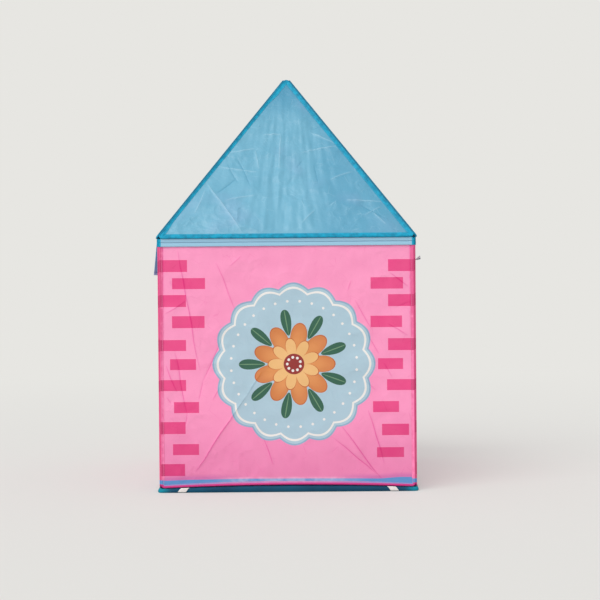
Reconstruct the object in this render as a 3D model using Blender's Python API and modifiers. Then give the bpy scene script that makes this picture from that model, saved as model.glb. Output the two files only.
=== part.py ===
"""A square play tent that springs open: four hooped cloth walls, a pyramid roof of four
hooped triangles and a cloth floor.

Metres, +Z up. The origin is on the ground under the middle of the floor. The printed
front wall faces -Y, the wall with the door faces +X and the wall with the window faces -X.

Every wall and every roof triangle is built the same way. A spring steel hoop, closed by a
crimped ferrule, runs in a folded cloth sleeve, and the sleeve's two legs are sewn to the
edge of the cloth between them. The walls are hinged to each other where their sleeves are
sewn together, and each roof triangle is hinged on its own wall along the eave.
"""

import math

import bmesh
import bpy
from mathutils import Matrix, Vector

# Driving sizes of the whole tent
TENT_WIDTH = 0.750          # over the wall sleeves, the same each way
EAVE_HEIGHT = 0.740         # ground to the top of the wall sleeves
PEAK_HEIGHT = 1.250         # ground to the tips of the roof hoops

# Cloth, thread gaps and the sleeves round the hoops
CLOTH = 0.0008              # a sheet of polyester with its coating
TOUCH = 0.0003              # gap between two pieces that lie on each other
WIRE_RADIUS = 0.00125       # spring steel
BEAD_RADIUS = 0.0030        # outside of the sleeve where it goes round the wire
BEAD_WALL = 0.0008          # sleeve cloth with its turned hem
WALL_BINDING = 0.011        # visible width of a sleeve on a wall
ROOF_BINDING = 0.0155       # and on the roof
EDGE_TO_WIRE = 0.0028       # the cloth's edge stops this far inside the wire's centre line
WIRE_STEPS = 2              # bevel resolution of a wire
BEAD_STEPS = 4              # facets on each half of the sleeve's bead
CORNER_STEPS = 3            # facets round each corner of a hoop

# Ferrule on each hoop
FERRULE_LENGTH = 0.024
FERRULE_RADIUS = 0.0019
FERRULE_BORE_RADIUS = 0.00155
CRIMP_DEPTH = 0.00015
FERRULE_STEPS = 10
# Places of the crimped grooves along half the ferrule
CRIMP_SHARES = (0.70, 0.50, 0.30)

# Wall hoops
WALL_CORNER_RADIUS = 0.008
HEM_RISE = 0.008            # the bottom run springs up this much in its middle
# Corners of the bowed bottom run, as shares of half the wall's width. It is straight
# between the inner two, where the ferrule sits.
HEM_INNER_SHARE = 0.2
HEM_OUTER_SHARE = 0.6

# Eave: the roof is sewn on just outside the walls, above a light blue band
ROOF_OUTSET = 0.0052        # roof hinge line outside the wall's middle plane
ROOF_LIFT = 0.00365         # and above the centre of the wall's top wire
BAND_HEIGHT = 0.020
BAND_CLOTH = 0.0006
BAND_DROP = 0.0024          # top of the band below the top of the wall sleeve
BAND_CUT = 0.014            # its upper corners are cut off, clear of the roof's folded corners

# Roof hoops
ROOF_CORNER_RADIUS = 0.007
TIP_RADIUS = 0.008
HIP_INSET = 0.0044          # wire centre line to the hip where two roof planes meet

# Floor
FLOOR_CLOTH = 0.001
RIM_HEIGHT = 0.012
RIM_OUTSET = 0.005          # the rim stands out past the wall sleeves
RIM_WIDTH = 0.024
RIM_CORNER_RADIUS = 0.014
FLOOR_HEM_WIDTH = 0.010     # the rim's hem, sewn on top of the sheet's edge
SEWN_CLOTH = 0.0008         # the sheet is pressed thinner under that hem
PRESSED_SLOPE = 0.0004      # width of the step up to its full thickness
# The rim's rolled outline from its outer foot over the top to its inner foot, as shares
# of its width (inwards from the outermost point) and of its height
RIM_ROLL_SHARES = (
    (0.10, 0.0), (0.02, 0.17), (0.0, 0.50), (0.06, 0.79), (0.13, 0.93), (0.24, 1.0),
    (0.56, 0.97), (0.80, 0.72), (0.94, 0.44), (1.0, 0.18), (0.97, 0.0),
)
TAPE_TURNS = 6              # a tape follows the first points of that outline

# White tapes sewn down over the floor rim, below the wall hems
TAPE_WIDTH = 0.020
TAPE_CLOTH = 0.0008
TAPE_TO_CORNER = 0.074      # middle of a tape to the end of its wall
TAPE_SPLAY = 0.010          # the foot of a tape lies this much nearer to the corner

# Door in the right wall
DOOR_WIDTH = 0.360
DOOR_SILL = 0.045
DOOR_TO_EAVE = 0.140        # top of the doorway below the top of the wall
DOOR_CORNER_RADIUS = 0.060
DOOR_FOOT_RADIUS = 0.006
EDGING_WIDTH = 0.009        # binding sewn round the door and the window
EDGING_CLOTH = 0.0007
CURTAIN_OVERLAP = 0.004     # a curtain's seam lies this far outside the doorway
CURTAIN_COVER = 0.012       # and its top this far above it
CURTAIN_PARTING = 0.001     # half the gap between the two curtains
CURTAIN_FOLD_DEPTH = 0.007
CURTAIN_FOLD_SLOPE_SHARE = 0.12     # fold depth gained for each length from the seam
CURTAIN_FOLDS = 3
CURTAIN_COLUMNS = 24
CURTAIN_ROWS = 6
TIE_LENGTH = 0.090
TIE_WIDTH = 0.012
TIE_TO_EAVE = 0.410         # where the ties are sewn on
TIE_TO_DOOR = 0.014

# Window and valance in the left wall
WINDOW_WIDTH = 0.420
WINDOW_HEIGHT = 0.250
WINDOW_TO_EAVE = 0.150
WINDOW_CORNER_RADIUS = 0.030
VALANCE_LENGTH = 0.100
VALANCE_MARGIN = 0.012      # from the end of the wall to the end of the valance
VALANCE_DROP = 0.0070       # top of the valance below the top of the wall sleeve
VALANCE_FLARE = 0.0115      # its lower edge hangs this much further out than its top
VALANCE_WAVE = 0.0025
VALANCE_WAVES = 6
VALANCE_COLUMNS = 36
VALANCE_ROWS = 3

# Folded tab sewn into the edge of the right wall
TAB_LENGTH = 0.014
TAB_WIDTH = 0.016
TAB_THICKNESS = 0.0018
TAB_BELOW_EAVE = 0.070
TAB_RISE = 0.006

WELD = 0.000002             # points closer than this are one point
SHARP_ANGLE = math.radians(40)
QUARTER_TURN = math.radians(90)
ROOF_FIT_STEPS = 30         # steps that find the roof's lean

# Worked out from the sizes above
WIRE_PLANE = TENT_WIDTH / 2 - BEAD_RADIUS
WALL_HALF = WIRE_PLANE - (BEAD_RADIUS + TOUCH / 2) * math.sqrt(2)
LOOP_RADIUS = BEAD_RADIUS - BEAD_WALL
LEG_INNER = CLOTH / 2 + TOUCH
LEG_OUTER = LEG_INNER + BEAD_WALL
WALL_FOOT = RIM_HEIGHT + TOUCH + BEAD_RADIUS
WALL_HEAD = EAVE_HEIGHT - BEAD_RADIUS
FOLD_IN_AXIS = WIRE_PLANE - BEAD_RADIUS - TOUCH / 2     # corners that close
FOLD_OUT_AXIS = WIRE_PLANE + BEAD_RADIUS + TOUCH / 2 - (WIRE_PLANE - WALL_HALF)  # that open
ROOF_REACH = WIRE_PLANE + ROOF_OUTSET
ROOF_FOOT = WALL_HEAD + ROOF_LIFT
RIM_HALF = TENT_WIDTH / 2 + RIM_OUTSET
SHEET_HALF = RIM_HALF - RIM_WIDTH - TOUCH
DOOR_TOP = EAVE_HEIGHT - DOOR_TO_EAVE
WINDOW_TOP = EAVE_HEIGHT - WINDOW_TO_EAVE
CURTAIN_OUT = LEG_INNER + EDGING_CLOTH + TOUCH + CLOTH / 2
SIDES = ("front", "right", "back", "left")

# Colours of the cloths, as Blender's linear values
PINK = (0.90, 0.20, 0.42)
MAGENTA = (0.60, 0.05, 0.22)
SKY = (0.18, 0.42, 0.60)
TEAL = (0.01, 0.27, 0.42)
PALE_BLUE = (0.24, 0.47, 0.66)
DEEP_TEAL = (0.01, 0.17, 0.28)
WHITE = (0.85, 0.85, 0.84)
STEEL = (0.55, 0.56, 0.58)


def clear_scene():
    for thing in list(bpy.data.objects):
        bpy.data.objects.remove(thing, do_unlink=True)


def new_collection(name):
    made = bpy.data.collections.new(name)
    bpy.context.scene.collection.children.link(made)
    return made


def new_material(name, colour, roughness, metallic=0.0):
    made = bpy.data.materials.new(name)
    made.use_nodes = True
    shader = made.node_tree.nodes["Principled BSDF"]
    shader.inputs["Base Color"].default_value = (*colour, 1.0)
    shader.inputs["Roughness"].default_value = roughness
    shader.inputs["Metallic"].default_value = metallic
    return made


clear_scene()
TENT = new_collection("play_tent")
CLOTHS = {
    "pink_cloth": new_material("pink_cloth", PINK, 0.7),
    "magenta_binding": new_material("magenta_binding", MAGENTA, 0.75),
    "sky_cloth": new_material("sky_cloth", SKY, 0.65),
    "teal_binding": new_material("teal_binding", TEAL, 0.7),
    "pale_blue_cloth": new_material("pale_blue_cloth", PALE_BLUE, 0.7),
    "floor_cloth": new_material("floor_cloth", DEEP_TEAL, 0.6),
    "white_tape": new_material("white_tape", WHITE, 0.8),
    "spring_steel": new_material("spring_steel", STEEL, 0.35, metallic=1.0),
}


def hang_on(thing, hinge):
    """Put an object under a hinge, and leave it where it is in the world."""
    bpy.context.view_layer.update()
    world = thing.matrix_basis.copy()
    thing.parent = hinge
    thing.matrix_basis = hinge.matrix_world.inverted() @ world


def add_object(name, data, material, matrix, hinge=None):
    """Link a new object at a world matrix, under a hinge if one is given."""
    thing = bpy.data.objects.new(name, data)
    TENT.objects.link(thing)
    data.materials.append(CLOTHS[material])
    thing.matrix_basis = matrix
    if hinge is not None:
        hang_on(thing, hinge)
    return thing


def add_hinge(name, place, carrier=None):
    """An empty that stands on a hinge line, under another hinge if one is given."""
    hinge = bpy.data.objects.new(name + "_hinge", None)
    TENT.objects.link(hinge)
    hinge.matrix_basis = Matrix.Translation(place)
    if carrier is not None:
        hang_on(hinge, carrier)
    return hinge


def mesh_from(name, bm, smooth=False):
    """Weld a bmesh, turn its faces outwards and keep it as a mesh."""
    bmesh.ops.remove_doubles(bm, verts=bm.verts, dist=WELD)
    bmesh.ops.recalc_face_normals(bm, faces=bm.faces)
    mesh = bpy.data.meshes.new(name)
    bm.to_mesh(mesh)
    bm.free()
    if smooth:
        mesh.shade_smooth()
        mesh.set_sharp_from_angle(angle=SHARP_ANGLE)
    return mesh


def offset_corner(corners, number, inset):
    """The corner of an outline moved inwards, along with the directions of its two sides."""
    here = Vector(corners[number][:2])
    before = (here - Vector(corners[number - 1][:2])).normalized()
    after = (Vector(corners[(number + 1) % len(corners)][:2]) - here).normalized()
    turn = 1 + before.dot(after)
    inward = Vector((-before.y - after.y, before.x + after.x)) / turn
    return here + inward * inset, before, after


def ring(corners, inset, steps=CORNER_STEPS):
    """Points round an outline of (x, y, radius) corners, moved inwards by an inset. Each
    rounded corner keeps its number of points, and turns sharp where the inset is larger
    than its radius, as the inner edge of a folded binding does."""
    points = []
    for number, (_, _, radius) in enumerate(corners):
        sharp, before, after = offset_corner(corners, number, inset)
        if not radius:
            points.append(sharp)
            continue
        if inset >= radius:
            points += [sharp] * (steps + 1)
            continue
        middle, _, _ = offset_corner(corners, number, radius)
        start = math.atan2(-before.x, before.y)
        sweep = math.atan2(before.x * after.y - before.y * after.x, before.dot(after))
        for step in range(steps + 1):
            angle = start + sweep * step / steps
            out = Vector((math.cos(angle), math.sin(angle)))
            points.append(middle + out * (radius - inset))
    return points


def swept_ring(corners, section):
    """Sweep a closed section of (outwards, sideways) points round an outline. It is a loft
    between rings of unlike size, so its faces are bridged ring by ring."""
    bm = bmesh.new()
    rings = []
    for outwards, sideways in section:
        points = ring(corners, -outwards)
        rings.append([bm.verts.new((p.x, p.y, sideways)) for p in points])
    count = len(rings[0])
    for row, line in enumerate(rings):
        other = rings[(row + 1) % len(rings)]
        for n in range(count):
            after = (n + 1) % count
            bm.faces.new((line[n], line[after], other[after], other[n]))
    return bm


def sleeve_section(binding):
    """A folded sleeve: a bead round the wire, and two legs that hold the cloth's edge. It
    is open between the legs."""
    neck = math.sqrt(BEAD_RADIUS**2 - LEG_OUTER**2)
    throat = math.sqrt(LOOP_RADIUS**2 - LEG_INNER**2)
    leg_end = BEAD_RADIUS - binding
    outside = [(leg_end, LEG_OUTER)]
    start = math.atan2(LEG_OUTER, -neck)
    for step in range(2 * BEAD_STEPS + 1):
        angle = start * (1 - step / BEAD_STEPS)
        outside.append((BEAD_RADIUS * math.cos(angle), BEAD_RADIUS * math.sin(angle)))
    outside.append((leg_end, -LEG_OUTER))
    inside = [(leg_end, -LEG_INNER)]
    start = math.atan2(LEG_INNER, -throat)
    for step in range(2 * BEAD_STEPS + 1):
        angle = start * (step / BEAD_STEPS - 1)
        inside.append((LOOP_RADIUS * math.cos(angle), LOOP_RADIUS * math.sin(angle)))
    inside.append((leg_end, LEG_INNER))
    return outside + inside


def add_sleeve(name, corners, binding, material, matrix, hinge):
    bm = swept_ring(corners, sleeve_section(binding))
    return add_object(name, mesh_from(name, bm, smooth=True), material, matrix, hinge)


def add_hoop(name, corners, matrix, hinge):
    """The spring steel wire: a closed curve with a round bevel."""
    curve = bpy.data.curves.new(name, "CURVE")
    curve.dimensions = "3D"
    curve.bevel_depth = WIRE_RADIUS
    curve.bevel_resolution = WIRE_STEPS
    points = ring(corners, 0)
    spline = curve.splines.new("POLY")
    spline.points.add(len(points) - 1)
    for spot, place in zip(spline.points, points):
        spot.co = (place.x, place.y, 0, 1)
    spline.use_cyclic_u = True
    return add_object(name, curve, "spring_steel", matrix, hinge)


def add_ferrule(name, height, matrix, hinge):
    """A crimped tube round the wire, turned about the wire's line."""
    half = FERRULE_LENGTH / 2
    first, middle, last = CRIMP_SHARES
    groove = FERRULE_RADIUS - CRIMP_DEPTH
    upper = [(FERRULE_RADIUS, 1), (FERRULE_RADIUS, first), (groove, middle), (FERRULE_RADIUS, last)]
    outside = upper + [(radius, -share) for radius, share in reversed(upper)]
    profile = outside + [(FERRULE_BORE_RADIUS, -1), (FERRULE_BORE_RADIUS, 1)]
    bm = bmesh.new()
    spots = [bm.verts.new((radius, 0, share * half)) for radius, share in profile]
    for one, other in zip(spots, spots[1:] + spots[:1]):
        bm.edges.new((one, other))
    mesh = bpy.data.meshes.new(name)
    bm.to_mesh(mesh)
    bm.free()
    along_x = Matrix.Translation((0, height, 0)) @ Matrix.Rotation(QUARTER_TURN, 4, "Y")
    tube = add_object(name, mesh, "spring_steel", matrix @ along_x, hinge)
    turn = tube.modifiers.new("turn", "SCREW")
    turn.axis = "Z"
    turn.angle = math.tau
    turn.steps = FERRULE_STEPS
    turn.render_steps = FERRULE_STEPS
    turn.use_merge_vertices = True
    turn.merge_threshold = WELD
    turn.use_smooth_shade = True
    return tube


def add_sheet(name, outlines, thickness, material, matrix, hinge=None):
    """Flat cloth: a filled 2D curve, where every outline after the first is a hole."""
    curve = bpy.data.curves.new(name, "CURVE")
    curve.dimensions = "2D"
    curve.fill_mode = "BOTH"
    curve.extrude = thickness / 2
    for outline in outlines:
        spline = curve.splines.new("POLY")
        spline.points.add(len(outline) - 1)
        for spot, place in zip(spline.points, outline):
            spot.co = (place[0], place[1], 0, 1)
        spline.use_cyclic_u = True
    return add_object(name, curve, material, matrix, hinge)


def thicken(sheet, thickness):
    """Give a bent sheet its thickness, half on each side."""
    cloth = sheet.modifiers.new("cloth", "SOLIDIFY")
    cloth.thickness = thickness
    cloth.offset = 0
    cloth.use_even_offset = True


def add_draped(name, columns, rows, shape, material, matrix, hinge):
    """Hanging cloth: a grid bent by shape(across share, up share), then given its thickness."""
    bm = bmesh.new()
    bmesh.ops.create_grid(bm, x_segments=columns, y_segments=rows, size=1)
    for spot in bm.verts:
        spot.co = shape((spot.co.x + 1) / 2, (spot.co.y + 1) / 2)
    mesh = bpy.data.meshes.new(name)
    bm.to_mesh(mesh)
    bm.free()
    mesh.shade_smooth()
    sheet = add_object(name, mesh, material, matrix, hinge)
    thicken(sheet, CLOTH)
    return sheet


def box_outline(left, right, low, high, foot_radius, head_radius):
    """Corners of an upright rectangle, anticlockwise from the lower left."""
    return [
        (left, low, foot_radius),
        (right, low, foot_radius),
        (right, high, head_radius),
        (left, high, head_radius),
    ]


def hem_height(share):
    """Height of the bottom run at a share of half the wall's width."""
    return WALL_FOOT + HEM_RISE * (1 - share**2)


def wall_outline():
    """Centre line of a wall's hoop, with the bowed bottom run."""
    shares = (-HEM_OUTER_SHARE, -HEM_INNER_SHARE, HEM_INNER_SHARE, HEM_OUTER_SHARE)
    hem = [(share * WALL_HALF, hem_height(share), 0) for share in shares]
    lower_left, *rest = box_outline(
        -WALL_HALF, WALL_HALF, WALL_FOOT, WALL_HEAD, WALL_CORNER_RADIUS, WALL_CORNER_RADIUS
    )
    return [lower_left] + hem + rest


def roof_shape():
    """(slope length from the hinge line to the peak, lean inwards from upright). The roof
    planes meet above the tips of the hoops, and the lean is found by steps."""
    rise = PEAK_HEIGHT - ROOF_FOOT
    for _ in range(ROOF_FIT_STEPS):
        slope = math.hypot(ROOF_REACH, rise)
        half_tip = math.atan2(ROOF_REACH, slope)
        below = (HIP_INSET + TIP_RADIUS) / math.sin(half_tip) - TIP_RADIUS - BEAD_RADIUS
        lean = math.atan2(ROOF_REACH, rise)
        tip = below * math.cos(lean) - LEG_INNER * math.sin(lean)
        rise = PEAK_HEIGHT - ROOF_FOOT + tip
    return math.hypot(ROOF_REACH, rise), math.atan2(ROOF_REACH, rise)


SLOPE_LENGTH, LEAN = roof_shape()


def roof_outline():
    """Centre line of a roof hoop. Its foot lies on the hinge line, and its two sides stay
    inside the hips."""
    half_tip = math.atan2(ROOF_REACH, SLOPE_LENGTH)
    half_foot = ROOF_REACH - HIP_INSET / math.cos(half_tip)
    tip = SLOPE_LENGTH - HIP_INSET / math.sin(half_tip)
    return [
        (-half_foot, 0, ROOF_CORNER_RADIUS),
        (half_foot, 0, ROOF_CORNER_RADIUS),
        (0, tip, TIP_RADIUS),
    ]


def wall_matrix(number):
    """From a wall's own plane (x along it, y up, z outwards) to the world."""
    turn = Matrix.Rotation(QUARTER_TURN * number, 4, "Z")
    stand = Matrix.Rotation(QUARTER_TURN, 4, "X")
    return turn @ Matrix.Translation((0, -WIRE_PLANE, 0)) @ stand


def roof_matrix(number):
    """From a roof triangle's own plane (x along the eave, y up the slope) to the world."""
    turn = Matrix.Rotation(QUARTER_TURN * number, 4, "Z")
    stand = Matrix.Rotation(QUARTER_TURN - LEAN, 4, "X")
    return turn @ Matrix.Translation((0, -ROOF_REACH, ROOF_FOOT)) @ stand


def door_outline():
    half = DOOR_WIDTH / 2
    return box_outline(-half, half, DOOR_SILL, DOOR_TOP, DOOR_FOOT_RADIUS, DOOR_CORNER_RADIUS)


def window_outline():
    half = WINDOW_WIDTH / 2
    sill = WINDOW_TOP - WINDOW_HEIGHT
    return box_outline(-half, half, sill, WINDOW_TOP, WINDOW_CORNER_RADIUS, WINDOW_CORNER_RADIUS)


def edging_section():
    """A binding folded over the cut edge of a door or a window. It is open outwards,
    where it takes the cloth."""
    outer = LEG_INNER + EDGING_CLOTH
    return [
        (EDGING_WIDTH, outer),
        (-TOUCH - EDGING_CLOTH, outer),
        (-TOUCH - EDGING_CLOTH, -outer),
        (EDGING_WIDTH, -outer),
        (EDGING_WIDTH, -LEG_INNER),
        (-TOUCH, -LEG_INNER),
        (-TOUCH, LEG_INNER),
        (EDGING_WIDTH, LEG_INNER),
    ]


def add_edging(name, corners, matrix, hinge):
    bm = swept_ring(corners, edging_section())
    return add_object(name, mesh_from(name, bm), "magenta_binding", matrix, hinge)


def add_eave_band(name, matrix, hinge):
    """The light blue strip that covers the seam between wall and roof."""
    half = WALL_HALF + BEAD_RADIUS - CLOTH
    head = EAVE_HEIGHT - BAND_DROP
    low = head - BAND_HEIGHT
    cut_x = half - BAND_CUT
    cut_y = head - BAND_CUT
    outline = [
        (-half, low), (half, low), (half, cut_y), (cut_x, head), (-cut_x, head), (-half, cut_y)
    ]
    out = BEAD_RADIUS + TOUCH + BAND_CLOTH / 2
    place = matrix @ Matrix.Translation((0, 0, out))
    return add_sheet(name, [outline], BAND_CLOTH, "pale_blue_cloth", place, hinge)


def add_wall(number, hinge):
    """One wall: cloth, hoop, ferrule, sleeve and eave band."""
    name = SIDES[number] + "_wall"
    matrix = wall_matrix(number)
    corners = wall_outline()
    outlines = [ring(corners, EDGE_TO_WIRE)]
    if SIDES[number] == "right":
        outlines.append(ring(door_outline(), 0))
    if SIDES[number] == "left":
        outlines.append(ring(window_outline(), 0))
    add_sheet(name + "_cloth", outlines, CLOTH, "pink_cloth", matrix, hinge)
    add_hoop(name + "_hoop", corners, matrix, hinge)
    add_ferrule(name + "_ferrule", hem_height(HEM_INNER_SHARE), matrix, hinge)
    add_sleeve(name + "_sleeve", corners, WALL_BINDING, "magenta_binding", matrix, hinge)
    add_eave_band(SIDES[number] + "_eave_band", matrix, hinge)


def add_roof(number, carrier):
    """One roof triangle: cloth, hoop, ferrule and sleeve, on a hinge line along the eave."""
    name = SIDES[number] + "_roof"
    matrix = roof_matrix(number)
    hinge = add_hinge(name, matrix.translation, carrier)
    corners = roof_outline()
    add_sheet(name + "_cloth", [ring(corners, EDGE_TO_WIRE)], CLOTH, "sky_cloth", matrix, hinge)
    add_hoop(name + "_hoop", corners, matrix, hinge)
    add_ferrule(name + "_ferrule", 0, matrix, hinge)
    add_sleeve(name + "_sleeve", corners, ROOF_BINDING, "teal_binding", matrix, hinge)


def add_floor_sheet():
    """A square of thick cloth, pressed thinner along its edge, where the hem is sewn on."""
    bm = bmesh.new()
    bmesh.ops.create_cube(bm, size=1)
    bmesh.ops.scale(bm, vec=(2 * SHEET_HALF, 2 * SHEET_HALF, SEWN_CLOTH), verts=bm.verts)
    bmesh.ops.translate(bm, vec=(0, 0, SEWN_CLOTH / 2), verts=bm.verts)
    top = max(bm.faces, key=lambda face: face.calc_center_median().z)
    hem = FLOOR_HEM_WIDTH + TOUCH
    bmesh.ops.inset_region(bm, faces=[top], thickness=hem, use_even_offset=True)
    bmesh.ops.inset_region(bm, faces=[top], thickness=PRESSED_SLOPE, use_even_offset=True)
    bmesh.ops.translate(bm, vec=(0, 0, FLOOR_CLOTH - SEWN_CLOTH), verts=top.verts)
    add_object("floor_sheet", mesh_from("floor_sheet", bm), "floor_cloth", Matrix.Identity(4))


def add_floor():
    """The floor sheet, the soft roll round it, and the roll's hem on the sheet's edge."""
    add_floor_sheet()
    square = box_outline(
        -RIM_HALF, RIM_HALF, -RIM_HALF, RIM_HALF, RIM_CORNER_RADIUS, RIM_CORNER_RADIUS
    )
    roll = [(-across * RIM_WIDTH, up * RIM_HEIGHT) for across, up in RIM_ROLL_SHARES]
    rim = mesh_from("floor_rim", swept_ring(square, roll), smooth=True)
    add_object("floor_rim", rim, "floor_cloth", Matrix.Identity(4))
    half = SHEET_HALF
    edge = box_outline(-half, half, -half, half, 0, 0)
    flat = Matrix.Translation((0, 0, SEWN_CLOTH + TOUCH + CLOTH / 2))
    outlines = [ring(edge, 0), ring(edge, FLOOR_HEM_WIDTH)]
    add_sheet("floor_hem", outlines, CLOTH, "floor_cloth", flat)


def tape_line():
    """A tape's line over the rim, as (outwards, up) from the wall's middle plane. It starts
    just below the wall's hem, out of its way, and ends just above the ground."""
    clear = TOUCH + TAPE_CLOTH / 2
    line = []
    outline = [(-across * RIM_WIDTH, up * RIM_HEIGHT) for across, up in RIM_ROLL_SHARES[:TAPE_TURNS]]
    for number in range(len(outline) - 2, 0, -1):
        before = Vector(outline[number + 1]) - Vector(outline[number])
        after = Vector(outline[number]) - Vector(outline[number - 1])
        along = (before.normalized() + after.normalized()).normalized()
        out = Vector((along.y, -along.x)) * clear / along.dot(before.normalized())
        spot = Vector(outline[number]) + out
        line.append((spot.x + RIM_HALF - WIRE_PLANE, max(spot.y, TAPE_CLOTH)))
    return line


def add_tapes():
    """Two tapes on each side, splayed towards the corners."""
    line = tape_line()
    for number, side in enumerate(SIDES):
        for hand, end in ((-1, SIDES[number - 1]), (1, SIDES[(number + 1) % 4])):
            name = side + "_" + end + "_tape"
            bm = bmesh.new()
            middle = hand * (TENT_WIDTH / 2 - TAPE_TO_CORNER)
            rows = []
            for step, (out, up) in enumerate(line):
                shift = middle + hand * TAPE_SPLAY * step / (len(line) - 1)
                rows.append([
                    bm.verts.new((shift + edge * TAPE_WIDTH / 2, up, out))
                    for edge in (-1, 1)
                ])
            for upper, lower in zip(rows, rows[1:]):
                bm.faces.new((upper[0], lower[0], lower[1], upper[1]))
            mesh = bpy.data.meshes.new(name)
            bm.to_mesh(mesh)
            bm.free()
            thicken(add_object(name, mesh, "white_tape", wall_matrix(number)), TAPE_CLOTH)


def curtain_shape(hand):
    """A half curtain, from its seam at the side of the door to the middle. Its folds start
    at the seam and deepen away from it."""
    width = DOOR_WIDTH / 2 + CURTAIN_OVERLAP - CURTAIN_PARTING
    top = DOOR_TOP + CURTAIN_COVER
    round_top = DOOR_CORNER_RADIUS + CURTAIN_OVERLAP

    def place(across, up):
        from_seam = across * width
        short = max(round_top - from_seam, 0)
        head = top - round_top + math.sqrt(round_top**2 - short**2)
        height = DOOR_SILL - EDGING_WIDTH + up * (head - DOOR_SILL + EDGING_WIDTH)
        deepest = min(CURTAIN_FOLD_DEPTH, from_seam * CURTAIN_FOLD_SLOPE_SHARE)
        fold = deepest * (1 - math.cos(math.tau * CURTAIN_FOLDS * across)) / 2
        seam = DOOR_WIDTH / 2 + CURTAIN_OVERLAP
        return hand * (seam - from_seam), height, CURTAIN_OUT + fold

    return place


def add_door(wall, matrix):
    """Edging, two half curtains on their seams, and a tie beside each."""
    add_edging("door_edging", door_outline(), matrix, wall)
    seam = DOOR_WIDTH / 2 + CURTAIN_OVERLAP
    for hand, end in ((-1, "front"), (1, "back")):
        name = "door_" + end + "_curtain"
        hinge = add_hinge(name, matrix @ Vector((hand * seam, DOOR_SILL, CURTAIN_OUT)), wall)
        add_draped(
            name, CURTAIN_COLUMNS, CURTAIN_ROWS, curtain_shape(hand), "pink_cloth", matrix, hinge
        )
        inner = DOOR_WIDTH / 2 + TIE_TO_DOOR
        near, far = sorted((hand * inner, hand * (inner + TIE_WIDTH)))
        high = EAVE_HEIGHT - TIE_TO_EAVE
        low = high - TIE_LENGTH
        outline = [(near, low), (far, low), (far, high), (near, high)]
        out = Matrix.Translation((0, 0, LEG_INNER + TAPE_CLOTH / 2))
        add_sheet("door_" + end + "_tie", [outline], TAPE_CLOTH, "white_tape", matrix @ out, wall)


def valance_shape(across, up):
    """A short valance that hangs from the eave and waves at its lower edge."""
    half = WALL_HALF - VALANCE_MARGIN
    down = 1 - up
    top = EAVE_HEIGHT - VALANCE_DROP
    near = BEAD_RADIUS + 2 * TOUCH + BAND_CLOTH + CLOTH / 2
    wave = VALANCE_WAVE * down * math.sin(math.tau * VALANCE_WAVES * across)
    return (2 * across - 1) * half, top - down * VALANCE_LENGTH, near + VALANCE_FLARE * down + wave


def add_window(wall, matrix):
    add_edging("window_edging", window_outline(), matrix, wall)
    add_draped(
        "window_valance", VALANCE_COLUMNS, VALANCE_ROWS, valance_shape, "pale_blue_cloth",
        matrix, wall,
    )


def add_seam_tab(wall, matrix):
    """A folded tab of white tape, sewn into the front edge of the right wall."""
    root = BEAD_RADIUS + TOUCH
    low = EAVE_HEIGHT - TAB_BELOW_EAVE
    outline = [
        (root, low),
        (root + TAB_LENGTH, low + TAB_RISE),
        (root + TAB_LENGTH, low + TAB_RISE + TAB_THICKNESS),
        (root, low + TAB_THICKNESS),
    ]
    across = Matrix.Rotation(-QUARTER_TURN, 4, "Y")
    place = matrix @ Matrix.Translation((-WALL_HALF + TAB_WIDTH / 2, 0, 0)) @ across
    add_sheet("seam_tab", [outline], TAB_WIDTH, "white_tape", place, wall)


def add_walls_and_roof():
    corner = {
        "right": (FOLD_OUT_AXIS, -FOLD_OUT_AXIS),
        "back": (FOLD_IN_AXIS, FOLD_IN_AXIS),
        "left": (-FOLD_IN_AXIS, -FOLD_IN_AXIS),
    }
    for number, side in enumerate(SIDES):
        wall = None
        if side in corner:
            wall = add_hinge(side + "_wall", (*corner[side], 0))
        add_wall(number, wall)
        add_roof(number, wall)
        if side == "right":
            add_door(wall, wall_matrix(number))
            add_seam_tab(wall, wall_matrix(number))
        if side == "left":
            add_window(wall, wall_matrix(number))


add_floor()
add_tapes()
add_walls_and_roof()
bpy.context.view_layer.update()
print("roof leans", round(math.degrees(LEAN), 2), "degrees, slope", round(SLOPE_LENGTH, 4))
print("fold axes in", round(FOLD_IN_AXIS, 5), "out", round(FOLD_OUT_AXIS, 5))
print("roof hinge", round(ROOF_REACH, 5), round(ROOF_FOOT, 5), "wall half", round(WALL_HALF, 5))
print("curtain seam", round(DOOR_WIDTH / 2 + CURTAIN_OVERLAP, 5), round(WIRE_PLANE + CURTAIN_OUT, 5))
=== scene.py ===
# %% [markdown]
# # A play tent, dressed for its photograph
# The tent springs open: each wall and each roof triangle is thin printed polyester,
# stretched by a hoop of spring steel in a folded sleeve. The CAD model already holds every
# piece at its real size and place, so this file only makes the surfaces that are seen:
# cloth with the folds it keeps from its bag, bound edges, a soft floor and plain light.
# Everything is in metres, with +Z up and the printed front wall facing -Y.

# %% Load the frame
import math
import random

import bmesh
import bpy
import numpy as np
from mathutils import Matrix, Vector, noise


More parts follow.
